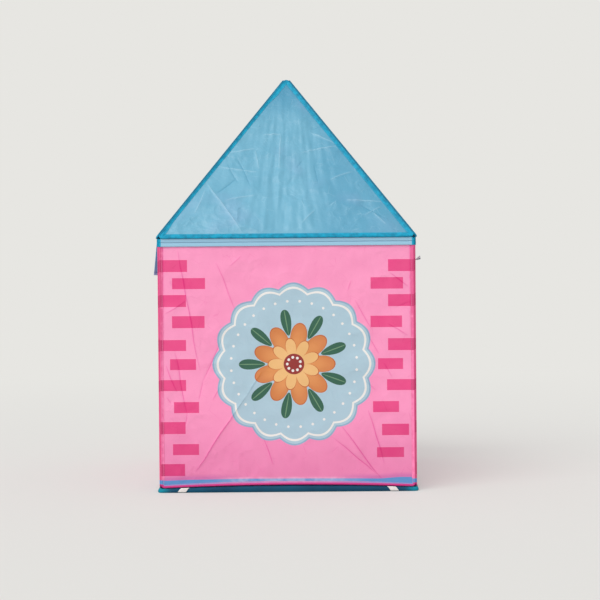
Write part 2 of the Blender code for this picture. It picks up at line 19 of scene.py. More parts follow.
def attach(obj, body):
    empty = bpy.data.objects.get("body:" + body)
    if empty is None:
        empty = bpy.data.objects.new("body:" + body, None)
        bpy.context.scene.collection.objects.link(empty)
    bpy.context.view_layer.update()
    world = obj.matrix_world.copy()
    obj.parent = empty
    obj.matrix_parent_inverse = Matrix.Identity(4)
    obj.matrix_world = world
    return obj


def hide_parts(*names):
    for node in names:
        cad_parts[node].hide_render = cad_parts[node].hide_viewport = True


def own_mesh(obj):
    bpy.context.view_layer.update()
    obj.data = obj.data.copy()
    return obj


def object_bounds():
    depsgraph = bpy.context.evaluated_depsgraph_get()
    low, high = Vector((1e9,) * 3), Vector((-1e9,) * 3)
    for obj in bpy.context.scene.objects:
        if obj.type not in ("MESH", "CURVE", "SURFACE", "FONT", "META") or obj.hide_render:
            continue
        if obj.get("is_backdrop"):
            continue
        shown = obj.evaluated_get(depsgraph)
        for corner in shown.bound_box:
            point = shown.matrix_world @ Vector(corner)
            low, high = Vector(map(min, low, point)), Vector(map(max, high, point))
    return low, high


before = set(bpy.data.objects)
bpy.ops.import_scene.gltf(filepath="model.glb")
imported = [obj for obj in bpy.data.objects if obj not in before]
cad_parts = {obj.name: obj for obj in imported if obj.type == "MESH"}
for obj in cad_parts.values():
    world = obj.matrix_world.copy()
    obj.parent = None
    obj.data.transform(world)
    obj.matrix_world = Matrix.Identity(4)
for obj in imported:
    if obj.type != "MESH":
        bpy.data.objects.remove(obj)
cad_low, cad_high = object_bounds()
print("CAD box from", [round(v, 4) for v in cad_low], "to", [round(v, 4) for v in cad_high])

# %% [markdown]
# ## The camera
# The photograph was taken straight at the front wall from about the middle of its height.
# Seven corners of the tent were measured in it, and the camera's place, its small turns and
# its lens were fitted to them. A long lens from four metres keeps the walls nearly parallel.

# %% Place the camera
PICTURE_WIDTH = 600
FOCAL_PIXELS = 1319
camera_data = bpy.data.cameras.new("camera")
camera_data.sensor_width = 36
camera_data.lens = FOCAL_PIXELS / PICTURE_WIDTH * camera_data.sensor_width
camera = bpy.data.objects.new("camera", camera_data)
bpy.context.scene.collection.objects.link(camera)
yaw, pitch, roll = (math.radians(turn) for turn in (0.09, -0.82, -0.475))
look = Matrix.Rotation(yaw, 4, "Z") @ Matrix.Rotation(math.pi / 2 + pitch, 4, "X")
camera.matrix_world = (
    Matrix.Translation((0.0445, -4.2, 0.612)) @ look @ Matrix.Rotation(roll, 4, "Z")
)
bpy.context.scene.camera = camera
print("camera at", tuple(round(v, 3) for v in camera.location), "lens", round(camera_data.lens, 1))

# %% [markdown]
# ## Colours
# Colours are read as screen values from 0 to 255, but Blender's shaders work in
# linear light. One small helper turns the first into the second, so that each finish can be
# written as the number a designer would pick.

# %% Turn screen colours into linear ones
def screen(red, green, blue):
    """A linear RGBA colour from screen values of 0 to 255."""
    shares = [value / 255 for value in (red, green, blue)]
    return tuple(
        share / 12.92 if share <= 0.04045 else ((share + 0.055) / 1.055) ** 2.4
        for share in shares
    ) + (1.0,)


# The second pink and the second brick are the same inks in painted shade, used low on the cloth.
PINK, PINK_IN_PAINTED_SHADE = screen(255, 157, 199), screen(238, 136, 182)
BRICK, BRICK_IN_PAINTED_SHADE, EDGE_BRICK = screen(238, 82, 141), screen(220, 68, 128), screen(208, 68, 120)
EDGE_PINK, MAGENTA = screen(230, 92, 142), screen(204, 56, 130)
SKY, SKY_LIGHT, SKY_IN_PAINTED_SHADE = screen(108, 170, 196), screen(111, 173, 199), screen(78, 149, 181)
# the deep teal is the roof tape's mottle and the painted shade of the roof's hollow folds
TEAL, TEAL_MOTTLE_AND_PAINTED_SHADE, FLOOR_TEAL = screen(0, 160, 196), screen(0, 128, 163), screen(6, 76, 104)
PALE_BLUE, BAND_BLUE = screen(154, 201, 226), screen(150, 195, 220)
SEAM_BLUE, HEM_BLUE = screen(104, 140, 178), screen(98, 150, 206)
STUDIO = screen(231, 230, 226)
print("pink in linear light:", [round(v, 3) for v in PINK[:3]])

# %% [markdown]
# ## Light and room
# The tent stands in a pale studio. A wall behind it would hide the tent's back in other
# views, so the floor is a wide disc that fades into a world of the same pale colour. What
# is seen of both, straight or in a mirror, is set through Light Path, and the light that
# falls on the tent stays plain: even light from all round, a little stronger from above,
# and one wide soft sun from the front left, high up. It draws the folds, and its shadow is
# a soft patch beside the tent's right foot.

# %% A short way to add a shader node
def add_node(tree, kind, inputs=None, **settings):
    """A shader node with its settings and inputs. An input that is a socket is linked."""
    made = tree.nodes.new("ShaderNode" + kind)
    for name, value in settings.items():
        setattr(made, name, value)
    for key, value in (inputs or {}).items():
        if isinstance(value, bpy.types.NodeSocket):
            tree.links.new(value, made.inputs[key])
        else:
            made.inputs[key].default_value = value
    return made


def in_view(tree):
    """1 for the rays that come from the camera, straight or by way of metal or glass."""
    rays = add_node(tree, "LightPath").outputs
    seen = rays["Is Camera Ray"]
    for other in ("Is Glossy Ray", "Is Transmission Ray"):
        seen = add_node(tree, "Math", {0: seen, 1: rays[other]}, operation="MAXIMUM").outputs[0]
    return seen


# %% Make the floor
FADE_FROM, FADE_TO = 1.2, 5.0    # metres from the tent
room = bmesh.new()
bmesh.ops.create_circle(room, cap_ends=True, segments=96, radius=40)
room_mesh = bpy.data.meshes.new("studio_floor")
room.to_mesh(room_mesh)
room.free()
studio_floor = bpy.data.objects.new("studio_floor", room_mesh)
bpy.context.scene.collection.objects.link(studio_floor)
studio_floor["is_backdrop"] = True

paper = bpy.data.materials.new("studio_paper")
paper.use_nodes = True
tree = paper.node_tree
matt = tree.nodes["Principled BSDF"]
matt.inputs["Base Color"].default_value = screen(217, 216, 213)
matt.inputs["Roughness"].default_value = 0.9
matt.inputs["Specular IOR Level"].default_value = 0.1
glow = add_node(tree, "Emission", {"Color": STUDIO})
spot = add_node(tree, "TexCoord").outputs["Object"]
away = add_node(tree, "VectorMath", {0: spot}, operation="LENGTH").outputs["Value"]
fade = add_node(tree, "MapRange", {
    "Value": away, "From Min": FADE_FROM, "From Max": FADE_TO, "To Min": 0.4, "To Max": 1.0,
}, interpolation_type="SMOOTHSTEP").outputs["Result"]
share = add_node(tree, "Math", {0: in_view(tree), 1: fade}, operation="MULTIPLY").outputs[0]
blended = add_node(tree, "MixShader", {0: share, 1: matt.outputs[0], 2: glow.outputs[0]})
tree.links.new(blended.outputs[0], tree.nodes["Material Output"].inputs["Surface"])
room_mesh.materials.append(paper)
print("floor fades into the world between", FADE_FROM, "and", FADE_TO, "m from the tent")

# %% Light it
HORIZON_LIGHT, OVERHEAD_LIGHT = 0.46, 0.78
world = bpy.data.worlds.new("studio")
bpy.context.scene.world = world
world.use_nodes = True
tree = world.node_tree
upwards = add_node(tree, "TexCoord").outputs["Generated"]
height = add_node(tree, "SeparateXYZ", {0: upwards}).outputs["Z"]
overhead = add_node(tree, "MapRange", {
    "Value": height, "From Min": 0.0, "From Max": 1.0,
    "To Min": HORIZON_LIGHT, "To Max": OVERHEAD_LIGHT,
}).outputs["Result"]
even = tree.nodes["Background"]
even.inputs["Color"].default_value = (1, 1, 1, 1)
tree.links.new(overhead, even.inputs["Strength"])
pale = add_node(tree, "Background", {"Color": STUDIO, "Strength": 1.0})
blended = add_node(tree, "MixShader", {
    0: in_view(tree), 1: even.outputs[0], 2: pale.outputs[0],
})
tree.links.new(blended.outputs[0], tree.nodes["World Output"].inputs["Surface"])

sun_data = bpy.data.lights.new("studio_sun", "SUN")
sun_data.energy = 1.8
sun_data.angle = math.radians(46)
studio_sun = bpy.data.objects.new("studio_sun", sun_data)
bpy.context.scene.collection.objects.link(studio_sun)
studio_sun.rotation_euler = Vector((1.4, 1.8, -2.3)).to_track_quat("-Z", "Y").to_euler()
bpy.context.scene.view_settings.view_transform = "Standard"
print("sun", sun_data.energy, "and a world of", HORIZON_LIGHT, "at the horizon to", OVERHEAD_LIGHT)

# %% [markdown]
# ## A short way to write finishes
# Each finish is a Principled shader with nodes in front of it. Written out in full, the
# nodes hide the idea, so two small classes hide the nodes. A Value is an output of a node
# that takes the usual signs: a sum of two Values adds a Math node and is a Value again. A
# Finish keeps the tree and offers a few verbs: read an attribute, make a soft step, mix
# colours, raise a bump. Patterns follow two UV maps that the meshes carry: cloth holds a
# point's place on the flat cloth, and run its place on a long narrow tape. The cloth is so
# thin that lamplight comes through it, which is what makes the inside of such a tent glow. A
# finish can therefore let the rays that ask a lamp for light pass with a tint, and the loose
# valance, which is seen from its shaded side, gets a Translucent shader as well.

# %% A class for the values in a shader
def sign(operation, turned=False):
    """What a Python sign does to a Value: it adds a Math node."""
    def work(one, other):
        return one.finish.math(operation, *((other, one) if turned else (one, other)))

    return work


class Value:
    """An output of a shader node, to do sums with."""

    __add__, __mul__ = sign("ADD"), sign("MULTIPLY")
    __sub__, __rsub__ = sign("SUBTRACT"), sign("SUBTRACT", turned=True)
    __truediv__, __pow__, __lt__ = sign("DIVIDE"), sign("POWER"), sign("LESS_THAN")

    def __init__(self, finish, socket):
        self.finish = finish
        self.socket = socket

    def __abs__(self):
        return self.finish.math("ABSOLUTE", self)


# %% A class for finishes
class Finish:
    """A material, and short ways to wire its nodes."""

    def __init__(self, name, roughness, specular, lamplight=None, through=0.0):
        self.lamplight = lamplight
        self.through = through
        self.material = bpy.data.materials.new(name)
        self.material.use_nodes = True
        self.tree = self.material.node_tree
        self.shader = self.tree.nodes["Principled BSDF"]
        self.shader.inputs["Roughness"].default_value = roughness
        self.shader.inputs["Specular IOR Level"].default_value = specular
        self.bump = None

    def get(self, kind, inputs, output=0, **settings):
        """Add a node, and give one of its outputs."""
        inputs = {
            key: value.socket if isinstance(value, Value) else value
            for key, value in inputs.items()
        }
        return Value(self, add_node(self.tree, kind, inputs, **settings).outputs[output])

    def math(self, operation, *values):
        return self.get("Math", dict(enumerate(values)), operation=operation)

    def vector(self, operation, *values):
        return self.get("VectorMath", dict(enumerate(values)), operation=operation)

    def read(self, attribute, output="Vector"):
        return self.get("Attribute", {}, output, attribute_name=attribute)

    def split(self, vector):
        """The first two parts of a vector."""
        parts = add_node(self.tree, "SeparateXYZ", {0: vector.socket}).outputs
        return Value(self, parts[0]), Value(self, parts[1])

    def ramp(self, value, low, high):
        """0 below low, 1 above high, and a smooth step between them."""
        inputs = {"Value": value, "From Min": low, "From Max": high}
        return self.get("MapRange", inputs, "Result", interpolation_type="SMOOTHSTEP")

    def mix(self, factor, first, second):
        return self.get("Mix", {0: factor, 6: first, 7: second}, 2, data_type="RGBA")

    def shaded(self, colour, value, saturation):
        """A colour with its lightness and its strength changed."""
        inputs = {"Color": colour, "Value": value, "Saturation": saturation}
        return self.get("HueSaturation", inputs, "Color")

    def speckle(self, vector, scale, detail=3.0, distortion=0.0):
        return self.get("TexNoise", {
            "Vector": vector, "Scale": scale, "Detail": detail, "Distortion": distortion,
        }, "Fac")

    def patchy(self, cloth, colour, scale, spread, value, saturation=1.0):
        """Cloth that is a little darker in soft patches."""
        patch = self.ramp(self.speckle(cloth, scale), 0.5 - spread, 0.5 + spread)
        return self.mix(patch, colour, self.shaded(colour, value, saturation))

    def raise_by(self, height, distance, strength=1.0):
        """Add a layer of bump. Distance is the real height of the layer in metres."""
        inputs = {"Height": height, "Distance": distance, "Strength": strength}
        if self.bump is not None:
            inputs["Normal"] = self.bump
        self.bump = self.get("Bump", inputs, "Normal")

    def over(self, factor, first, second):
        """Mix two shaders, and show the result."""
        both = add_node(self.tree, "MixShader", {
            0: factor, 1: first.outputs[0], 2: second.outputs[0],
        })
        self.tree.links.new(both.outputs[0], self.tree.nodes["Material Output"].inputs["Surface"])

    def done(self, colour):
        """Wire up the colour and the bump, and give the material."""
        self.tree.links.new(colour.socket, self.shader.inputs["Base Color"])
        self.tree.links.new(self.bump.socket, self.shader.inputs["Normal"])
        if self.through:
            behind = add_node(self.tree, "BsdfTranslucent", {"Color": colour.socket})
            self.over(self.through, self.shader, behind)
        if self.lamplight is not None:
            passing = add_node(self.tree, "BsdfTransparent", {"Color": self.lamplight})
            asks = add_node(self.tree, "LightPath").outputs["Is Shadow Ray"]
            self.over(asks, self.shader, passing)
        return self.material


# %% [markdown]
# ## What thin polyester does in every colour
# Under the dye, all the cloths are the same fine taffeta. Its threads are a third of a
# millimetre apart, too fine to see from a step away but enough to soften a highlight. Over
# them lie the small facets of coated cloth that lives crumpled in a bag. The facets are the
# distances inside Voronoi cells of two sizes, bent by noise and let through in patches.
# Where the coating is bruised, short bits of a net of hair lines show.

# %% Weave and crinkles
THREAD_GAP = 0.00035


def add_taffeta(finish, cloth, crinkle=0.0008):
    """Bump for the threads and for the fine facets of a crumpled cloth. Returns the net of
    hair lines of its bruised coating, from 0 to 1."""
    bent = finish.get("TexNoise", {"Vector": cloth, "Scale": 8.0, "Detail": 3.0}, "Color")
    shift = finish.vector("SCALE", finish.vector("SUBTRACT", bent, (0.5, 0.5, 0.5)))
    shift.socket.node.inputs["Scale"].default_value = 0.11
    crooked = finish.vector("ADD", cloth, shift)
    for size, height, seed in ((15.0, 4.0, 6.0), (36.0, 1.5, 8.0)):
        cells = finish.get("TexVoronoi", {"Vector": crooked, "Scale": size}, "Distance")
        patch = finish.ramp(finish.speckle(cloth, seed, 1.0), 0.40, 0.62)
        finish.raise_by(cells * patch, crinkle * height)
    finish.raise_by(finish.speckle(cloth, 34.0, 4.0, 0.6), crinkle * 1.2, 0.5)
    weft, warp = (finish.math("SINE", way * (math.pi / THREAD_GAP)) for way in finish.split(cloth))
    finish.raise_by(weft * warp, 0.00003, 0.35)
    lines = finish.get(
        "TexVoronoi", {"Vector": cloth, "Scale": 26.0}, "Distance", feature="DISTANCE_TO_EDGE"
    )
    bruised = finish.ramp(finish.speckle(cloth, 26.0, 1.0), 0.50, 0.66)
    return bruised * (1.0 - finish.ramp(lines, 0.0, 0.022))


print("taffeta: threads", THREAD_GAP * 1000, "mm apart, facets about 65 and 28 mm across")

# %% [markdown]
# ## Sizes and planes
# The looks have to sit exactly on the CAD model, so its main sizes come first. Every wall is
# drawn flat in its own plane, with x along the wall, y up and z outwards, and is then stood
# up and turned to its side. Each roof triangle does the same from a line along the eave, and
# leans in. Drawing flat keeps the print, the folds and the sewing simple.

# %% Sizes
WIRE_PLANE = 0.372          # middle plane of a wall
WALL_HALF = 0.36755         # wire centre line, half its width
WALL_FOOT = 0.0153
WALL_HEAD = 0.737
WALL_CORNER = 0.008         # radius of the wire's corners
HEM_RISE = 0.008            # the bottom run springs up in its middle
BEAD_RADIUS = 0.003         # the sleeve round the wire
LEG_INNER = 0.0007
LEG_OUTER = 0.0015
LEG_START = -0.0026         # the sleeve's flat leg starts this far inside the wire
EDGE_TO_WIRE = 0.0028       # the cloth stops this far inside the wire
WALL_BINDING = 0.011
ROOF_BINDING = 0.0155
ROOF_REACH = 0.3772
ROOF_FOOT = 0.74065
SLOPE_LENGTH = 0.64229
LEAN = math.atan2(ROOF_REACH, math.sqrt(SLOPE_LENGTH**2 - ROOF_REACH**2))
HIP_INSET = 0.0044
CLOTH = 0.0008
TOUCH = 0.0003              # room between pieces that lie on each other
SIDES = ("front", "right", "back", "left")
BODIES = {"front": "root", "right": "right_wall", "back": "back_wall", "left": "left_wall"}
print("roof leans in by", round(math.degrees(LEAN), 2), "degrees")


# %% Stand a flat panel up
def wall_place(number):
    """From a wall's own plane to the tent."""
    turn = Matrix.Rotation(math.pi / 2 * number, 4, "Z")
    return turn @ Matrix.Translation((0, -WIRE_PLANE, 0)) @ Matrix.Rotation(math.pi / 2, 4, "X")


def roof_place(number):
    """From a roof triangle's own plane to the tent."""
    turn = Matrix.Rotation(math.pi / 2 * number, 4, "Z")
    stand = Matrix.Rotation(math.pi / 2 - LEAN, 4, "X")
    return turn @ Matrix.Translation((0, -ROOF_REACH, ROOF_FOOT)) @ stand


# %% [markdown]
# ## Outlines
# A hoop's outline is a short list of corners, each with a radius. The sleeves, the cloth's
# edge and the edging of the door all follow such outlines at some inset, so one function
# gives the points at any inset. Where an inset is larger than a corner's radius, the corner
# turns sharp, just as the inner edge of a folded binding is mitred.

# %% Walk round an outline
def moved_corner(corners, number, inset):
    """A corner moved inwards, with the directions of the sides before and after it."""
    here = Vector(corners[number][:2])
    before = (here - Vector(corners[number - 1][:2])).normalized()
    after = (Vector(corners[(number + 1) % len(corners)][:2]) - here).normalized()
    inward = Vector((-before.y - after.y, before.x + after.x)) / (1 + before.dot(after))
    return here + inward * inset, before, after


def corner_points(corners, inset, steps=6):
    """The corner points of an outline of (x, y, radius) corners, moved inwards."""
    points = []
    for number, (_, _, radius) in enumerate(corners):
        sharp, before, after = moved_corner(corners, number, inset)
        if not radius or inset >= radius:
            points += [sharp] * (steps + 1 if radius else 1)
            continue
        middle = moved_corner(corners, number, radius)[0]
        start = math.atan2(-before.x, before.y)
        sweep = math.atan2(before.x * after.y - before.y * after.x, before.dot(after))
        for step in range(steps + 1):
            angle = start + sweep * step / steps
            out = Vector((math.cos(angle), math.sin(angle)))
            points.append(middle + out * (radius - inset))
    return points


def outline_points(corners, inset, spacing):
    """Points all round an outline, a spacing apart and equally many for every inset."""
    wire = corner_points(corners, 0)
    line = corner_points(corners, inset)
    points = []
    for number, here in enumerate(line):
        after = (number + 1) % len(line)
        steps = max(1, round((wire[after] - wire[number]).length / spacing))
        points += [here.lerp(line[after], step / steps) for step in range(steps)]
    return points


# %% The outlines of a wall, a roof triangle, the doorway and the window
def hem_height(share):
    return WALL_FOOT + HEM_RISE * (1 - share**2)


def wall_outline():
    hem = [(share / 10 * WALL_HALF, hem_height(share / 10), 0) for share in range(-9, 10, 2)]
    return [
        (-WALL_HALF, WALL_FOOT, WALL_CORNER), *hem, (WALL_HALF, WALL_FOOT, WALL_CORNER),
        (WALL_HALF, WALL_HEAD, WALL_CORNER), (-WALL_HALF, WALL_HEAD, WALL_CORNER),
    ]


HALF_TIP = math.atan2(ROOF_REACH, SLOPE_LENGTH)
ROOF_HALF = ROOF_REACH - HIP_INSET / math.cos(HALF_TIP)
ROOF_TIP = SLOPE_LENGTH - HIP_INSET / math.sin(HALF_TIP)


def roof_outline():
    return [(-ROOF_HALF, 0, 0.007), (ROOF_HALF, 0, 0.007), (0, ROOF_TIP, 0.008)]


def box_outline(half, low, high, foot_radius, head_radius):
    return [
        (-half, low, foot_radius), (half, low, foot_radius),
        (half, high, head_radius), (-half, high, head_radius),
    ]


def line_length(points):
    return sum(math.dist(one, other) for one, other in zip(points, points[1:]))


DOOR = box_outline(0.180, 0.045, 0.600, 0.006, 0.060)
WINDOW = box_outline(0.210, 0.340, 0.590, 0.030, 0.030)
hoop = corner_points(wall_outline(), 0)
print("a wall's hoop is", round(line_length(hoop + hoop[:1]), 3), "m round")


# %% [markdown]
# ## Strips and tubes
# Long sewn strips are a grid rolled into a tube: the columns walk round the outline and the
# rows walk round the folded section, and then the meeting edges are merged. A loose strip
# is the same grid, left open. Every corner of every face keeps two places, in two UV maps:
# cloth is the place on the panel's plane, and run is the distance along the strip and from
# its edge. They drive the print, the weave and the stitches, so patterns never slide when
# the tent folds.

# %% Roll a grid
MERGE = 0.00001              # metres, for the edges that meet


def roll_grid(name, columns, rows, place, measure, closed=True):
    """A grid whose point in a column and row goes to place(column, row)."""
    bm = bmesh.new()
    cloth = bm.loops.layers.uv.new("cloth")
    run = bm.loops.layers.uv.new("run")
    bmesh.ops.create_grid(bm, x_segments=columns, y_segments=rows, size=1)
    spots = {
        vert: (round((vert.co.x + 1) / 2 * columns), round((vert.co.y + 1) / 2 * rows))
        for vert in bm.verts
    }
    for vert, spot in spots.items():
        vert.co = place(*spot)
    for face in bm.faces:
        for loop in face.loops:
            loop[cloth].uv = loop.vert.co.xy
            loop[run].uv = measure(*spots[loop.vert])
    if closed:
        bmesh.ops.remove_doubles(bm, verts=bm.verts, dist=MERGE)
        bmesh.ops.recalc_face_normals(bm, faces=bm.faces)
    mesh = bpy.data.meshes.new(name)
    bm.to_mesh(mesh)
    bm.free()
    mesh.shade_smooth()
    return mesh


def section_measure(section):
    """The distance walked along a section to each of its points."""
    reach = [0.0]
    for one, other in zip(section, section[1:]):
        reach.append(reach[-1] + math.dist(one[:2], other[:2]))
    return reach


def unmoved(turn, point, spot):
    """The pucker of a strip that has none."""
    return 0.0, 0.0


def swept(name, corners, section, spacing, pucker=unmoved, slim=None):
    """Sweep a section of (outwards, sideways, seam) points round an outline. Seam is the
    distance from the sewn edge. Pucker moves a point of the section a little, and slim says
    where the flat leg is only half as wide, from 0 to 1."""
    insets = [-point[0] for point in section]
    rings = [outline_points(corners, inset, spacing) for inset in insets]
    narrow = [
        outline_points(corners, inset if inset < -LEG_START else (inset - LEG_START) / 2, spacing)
        for inset in insets
    ]
    wire = outline_points(corners, 0, spacing)
    along = [0.0]
    for number, here in enumerate(wire):
        along.append(along[-1] + (wire[(number + 1) % len(wire)] - here).length)
    whole = along[-1]
    middle = sum(wire, Vector((0, 0))) / len(wire)

    def place(column, row):
        point = section[row % len(section)]
        number = column % len(wire)
        spot = rings[row % len(section)][number]
        if slim is not None:
            spot = spot.lerp(narrow[row % len(section)][number], slim(wire[number]))
        out, side = pucker(along[number] / whole * math.tau, point, wire[number])
        away = (wire[number] - middle).normalized()
        return (spot.x + away.x * out, spot.y + away.y * out, point[1] + side)

    def measure(column, row):
        return along[column], section[row % len(section)][2]

    return roll_grid(name, len(wire), len(section), place, measure)


# %% Put a finished mesh on the tent
def dress(mesh, finish, body, node, place=Matrix.Identity(4), thickness=0.0):
    """Give a mesh its place and finish, and let it ride on its body."""
    mesh.transform(place)
    mesh.materials.append(finish)
    piece = bpy.data.objects.new(mesh.name, mesh)
    bpy.context.scene.collection.objects.link(piece)
    if thickness:
        solid = piece.modifiers.new("thickness", "SOLIDIFY")
        solid.thickness = thickness
        solid.offset = 0
    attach(piece, body)
    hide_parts(node)
    return piece


# %% [markdown]
# ## Folds that the bag leaves
# The tent is twisted flat and kept in a bag, so its cloth has sharp folds that never quite
# press out. The front ones were measured in the photograph, wall and roof. Each is a line on
# the flat cloth with a height: the mesh is cut along it, so that its crest stays crisp, and
# the cloth falls away from it on both sides. Gentle swells and small pulls from the seams
# come from noise. Everything fades out before the bindings, which hold the cloth flat.

# %% Folds of the front wall and roof
FRONT_FOLDS = [
    (-0.3157, 0.7052, -0.2537, 0.3563, 1.3), (-0.3258, 0.4092, -0.2926, 0.2286, -1.4),
    (-0.2926, 0.2286, -0.2959, 0.1966, -1.0), (-0.2043, 0.6666, -0.1504, 0.5297, 1.1),
    (-0.2924, 0.5585, -0.3538, 0.5198, 1.2), (-0.183, 0.4574, -0.2452, 0.3242, -1.2),
    (-0.2452, 0.3242, -0.2574, 0.2691, -1.0), (-0.2695, 0.0607, -0.1178, 0.2825, 2.4),
    (-0.1178, 0.2825, -0.0736, 0.349, 1.6), (-0.2182, 0.2687, -0.1919, 0.3122, 1.0),
    (-0.3525, 0.3717, -0.3211, 0.2928, 1.2), (-0.3508, 0.2772, -0.3376, 0.2582, -1.0),
    (-0.0712, 0.1578, -0.044, 0.0796, 1.1), (0.1546, 0.193, 0.2726, 0.0348, 2.2),
    (0.1368, 0.1509, 0.261, 0.0465, -1.8), (0.2334, 0.236, 0.2787, 0.0813, 1.3),
    (0.2239, 0.3245, 0.2556, 0.294, 1.0), (0.2809, 0.3731, 0.3038, 0.3314, 1.0),
    (0.1765, 0.5822, 0.1869, 0.614, 0.9), (0.235, 0.454, 0.2666, 0.3985, -1.1),
    (-0.1638, 0.6575, -0.1316, 0.6863, 0.9), (0.1981, 0.5559, 0.2468, 0.4684, 1.1),
    (0.300, 0.635, 0.352, 0.595, 1.3), (0.292, 0.487, 0.350, 0.452, 1.2),
    (0.317, 0.535, 0.353, 0.548, -0.9),
]
FRONT_ROOF_FOLDS = [
    (-0.2397, 0.2098, -0.1313, 0.0212, 1.6), (-0.1799, 0.3261, -0.095, 0.3393, 1.3),
    (-0.2056, 0.2704, -0.0877, 0.2473, 1.4), (-0.2063, 0.1641, -0.1503, 0.2205, -1.2),
    (-0.1798, 0.137, -0.0925, 0.1563, 1.2), (-0.1756, 0.2772, -0.1449, 0.2087, -1.1),
    (-0.0949, 0.3325, -0.0825, 0.2631, 1.1), (-0.0682, 0.3962, -0.016, 0.3977, 1.3),
    (-0.016, 0.3977, -0.0217, 0.2624, 1.3), (0.0825, 0.4168, 0.121, 0.4379, -1.0),
    (0.0762, 0.4028, 0.152, 0.3581, 1.4), (0.0498, 0.3236, 0.1625, 0.351, 1.3),
    (0.0325, 0.2618, 0.0478, 0.2895, -1.0), (0.1783, 0.1365, 0.2817, 0.1285, 1.4),
    (0.2175, 0.1163, 0.2977, 0.0627, -1.2), (0.231, 0.0784, 0.2761, 0.1081, 1.1),
    (0.2519, 0.0895, 0.291, 0.0442, 1.1), (0.0461, 0.0505, 0.0847, 0.0988, 1.0),
    (-0.2678, 0.0913, -0.2416, 0.1787, 1.2), (-0.1459, 0.2956, -0.108, 0.1967, -1.1),
    (0.131, 0.2135, 0.1976, 0.2442, 1.2), (0.0838, 0.2731, 0.0948, 0.1944, -1.1),
]
print(len(FRONT_FOLDS), "folds on the front wall and", len(FRONT_ROOF_FOLDS), "on its roof")


# %% Folds nobody saw
def bag_folds(seed, count, inside):
    """Seeded folds for a side that the photograph doesn't show."""
    dice = random.Random(seed)
    folds = []
    while len(folds) < count:
        x, y = dice.uniform(-0.34, 0.34), dice.uniform(0.04, 0.70)
        heading = dice.choice((1.0, -1.0)) * dice.uniform(0.3, 1.45)
        millimetres = dice.choice((1.0, 1.0, -1.0)) * dice.uniform(0.7, 1.8)
        for _ in range(dice.choice((1, 2, 2, 3))):
            length = dice.uniform(0.040, 0.150)
            far = (x + length * math.cos(heading), y + length * math.sin(heading))
            if not (inside(x, y) and inside(*far)):
                break
            folds.append((x, y, *far, millimetres))
            x, y = far
            heading += dice.uniform(-0.4, 0.4)
            millimetres *= dice.uniform(0.6, 1.1)
    return folds


# %% Kinks in a fold
def kinked(folds, seed):
    """Each fold as a slightly crooked chain of points, with its height."""
    dice = random.Random(seed)
    chains = []
    for x0, y0, x1, y1, millimetres in folds:
        length = math.hypot(x1 - x0, y1 - y0)
        steps = max(1, round(length / 0.045))
        points = []
        for step in range(steps + 1):
            aside = dice.uniform(-0.0028, 0.0028) if 0 < step < steps else 0.0
            share = step / steps
            points.append((
                x0 + (x1 - x0) * share - (y1 - y0) / length * aside,
                y0 + (y1 - y0) * share + (x1 - x0) / length * aside,
            ))
        chains.append((points, millimetres))
    return chains


# %% The cloth's relief
def smooth(value, low, high):
    """0 below low, 1 above high, and a smooth step between them."""
    share = np.clip((value - low) / (high - low), 0, 1)
    return share * share * (3 - 2 * share)


def from_fold(x, y, points):
    """Distance from a fold's line, and how strong the fold is at the nearest point of it."""
    whole = line_length(points)
    nearest, place, walked = np.full_like(x, 9.0), np.zeros_like(x), 0.0
    for one, other in zip(points, points[1:]):
        dx, dy, length = other[0] - one[0], other[1] - one[1], math.dist(one, other)
        share = np.clip(((x - one[0]) * dx + (y - one[1]) * dy) / length**2, 0, 1)
        away = np.hypot(x - one[0] - share * dx, y - one[1] - share * dy)
        place = np.where(away < nearest, (walked + share * length) / whole, place)
        nearest = np.minimum(nearest, away)
        walked += length
    return nearest, np.sqrt(np.clip(4 * place * (1 - place), 0, 1)) * 0.75 + 0.25


def fold_height(x, y, folds):
    """Height of the cloth over its plane from its sharp folds, in metres."""
    height = np.zeros_like(x)
    for points, millimetres in folds:
        away, strength = from_fold(x, y, points)
        sharp, broad = np.exp(-away / 0.0018), np.exp(-away / (0.014 + 0.006 * abs(millimetres)))
        height += millimetres / 1000 * strength * (0.75 * sharp + 0.9 * broad)
    return height


def crest_strength(x, y, folds):
    """1 on the crest of a raised fold, -1 in a hollow one, and 0 a few millimetres away."""
    mark = np.zeros_like(x)
    for points, millimetres in folds:
        away, strength = from_fold(x, y, points)
        mark += np.clip(millimetres / 1.3, -1, 1) * strength * np.exp(-away / 0.0016)
    return np.clip(mark, -1, 1)


def swell(x, y, seed, size):
    """Smooth noise between about -1 and 1 with bumps of a given size in metres."""
    shift = Vector((seed * 7.3, seed * 3.1, seed * 1.7))
    return np.array([
        noise.noise(Vector((a / size, b / size, 0)) + shift) for a, b in zip(x, y)
    ])


# %% [markdown]
# ## Cutting the cloth
# A panel starts as a fine flat grid. Planes trim it to its outline, the folds are cut in, and
# the faces inside a doorway or window are taken out a few millimetres past its line, where
# the edging hides the cut. Last, NumPy moves all the points outwards at once, by the height
# of the relief where each one lies.

# %% Cut a panel
def flat_panel(half, low, high, cell):
    """A grid in the panel's own plane."""
    bm = bmesh.new()
    bmesh.ops.create_grid(
        bm, x_segments=round(2 * half / cell), y_segments=round((high - low) / cell), size=1
    )
    bmesh.ops.scale(bm, vec=(half, (high - low) / 2, 1), verts=bm.verts)
    bmesh.ops.translate(bm, vec=(0, (high + low) / 2, 0), verts=bm.verts)
    return bm


def trim(bm, point, outwards):
    """Cut the panel along a line, and drop what lies outwards of it."""
    everything = bm.verts[:] + bm.edges[:] + bm.faces[:]
    bmesh.ops.bisect_plane(
        bm, geom=everything, dist=0.0001, plane_co=(*point, 0), plane_no=(*outwards, 0),
        clear_outer=True,
    )


CREASE = 0.0016                # half the width of a sharp crease


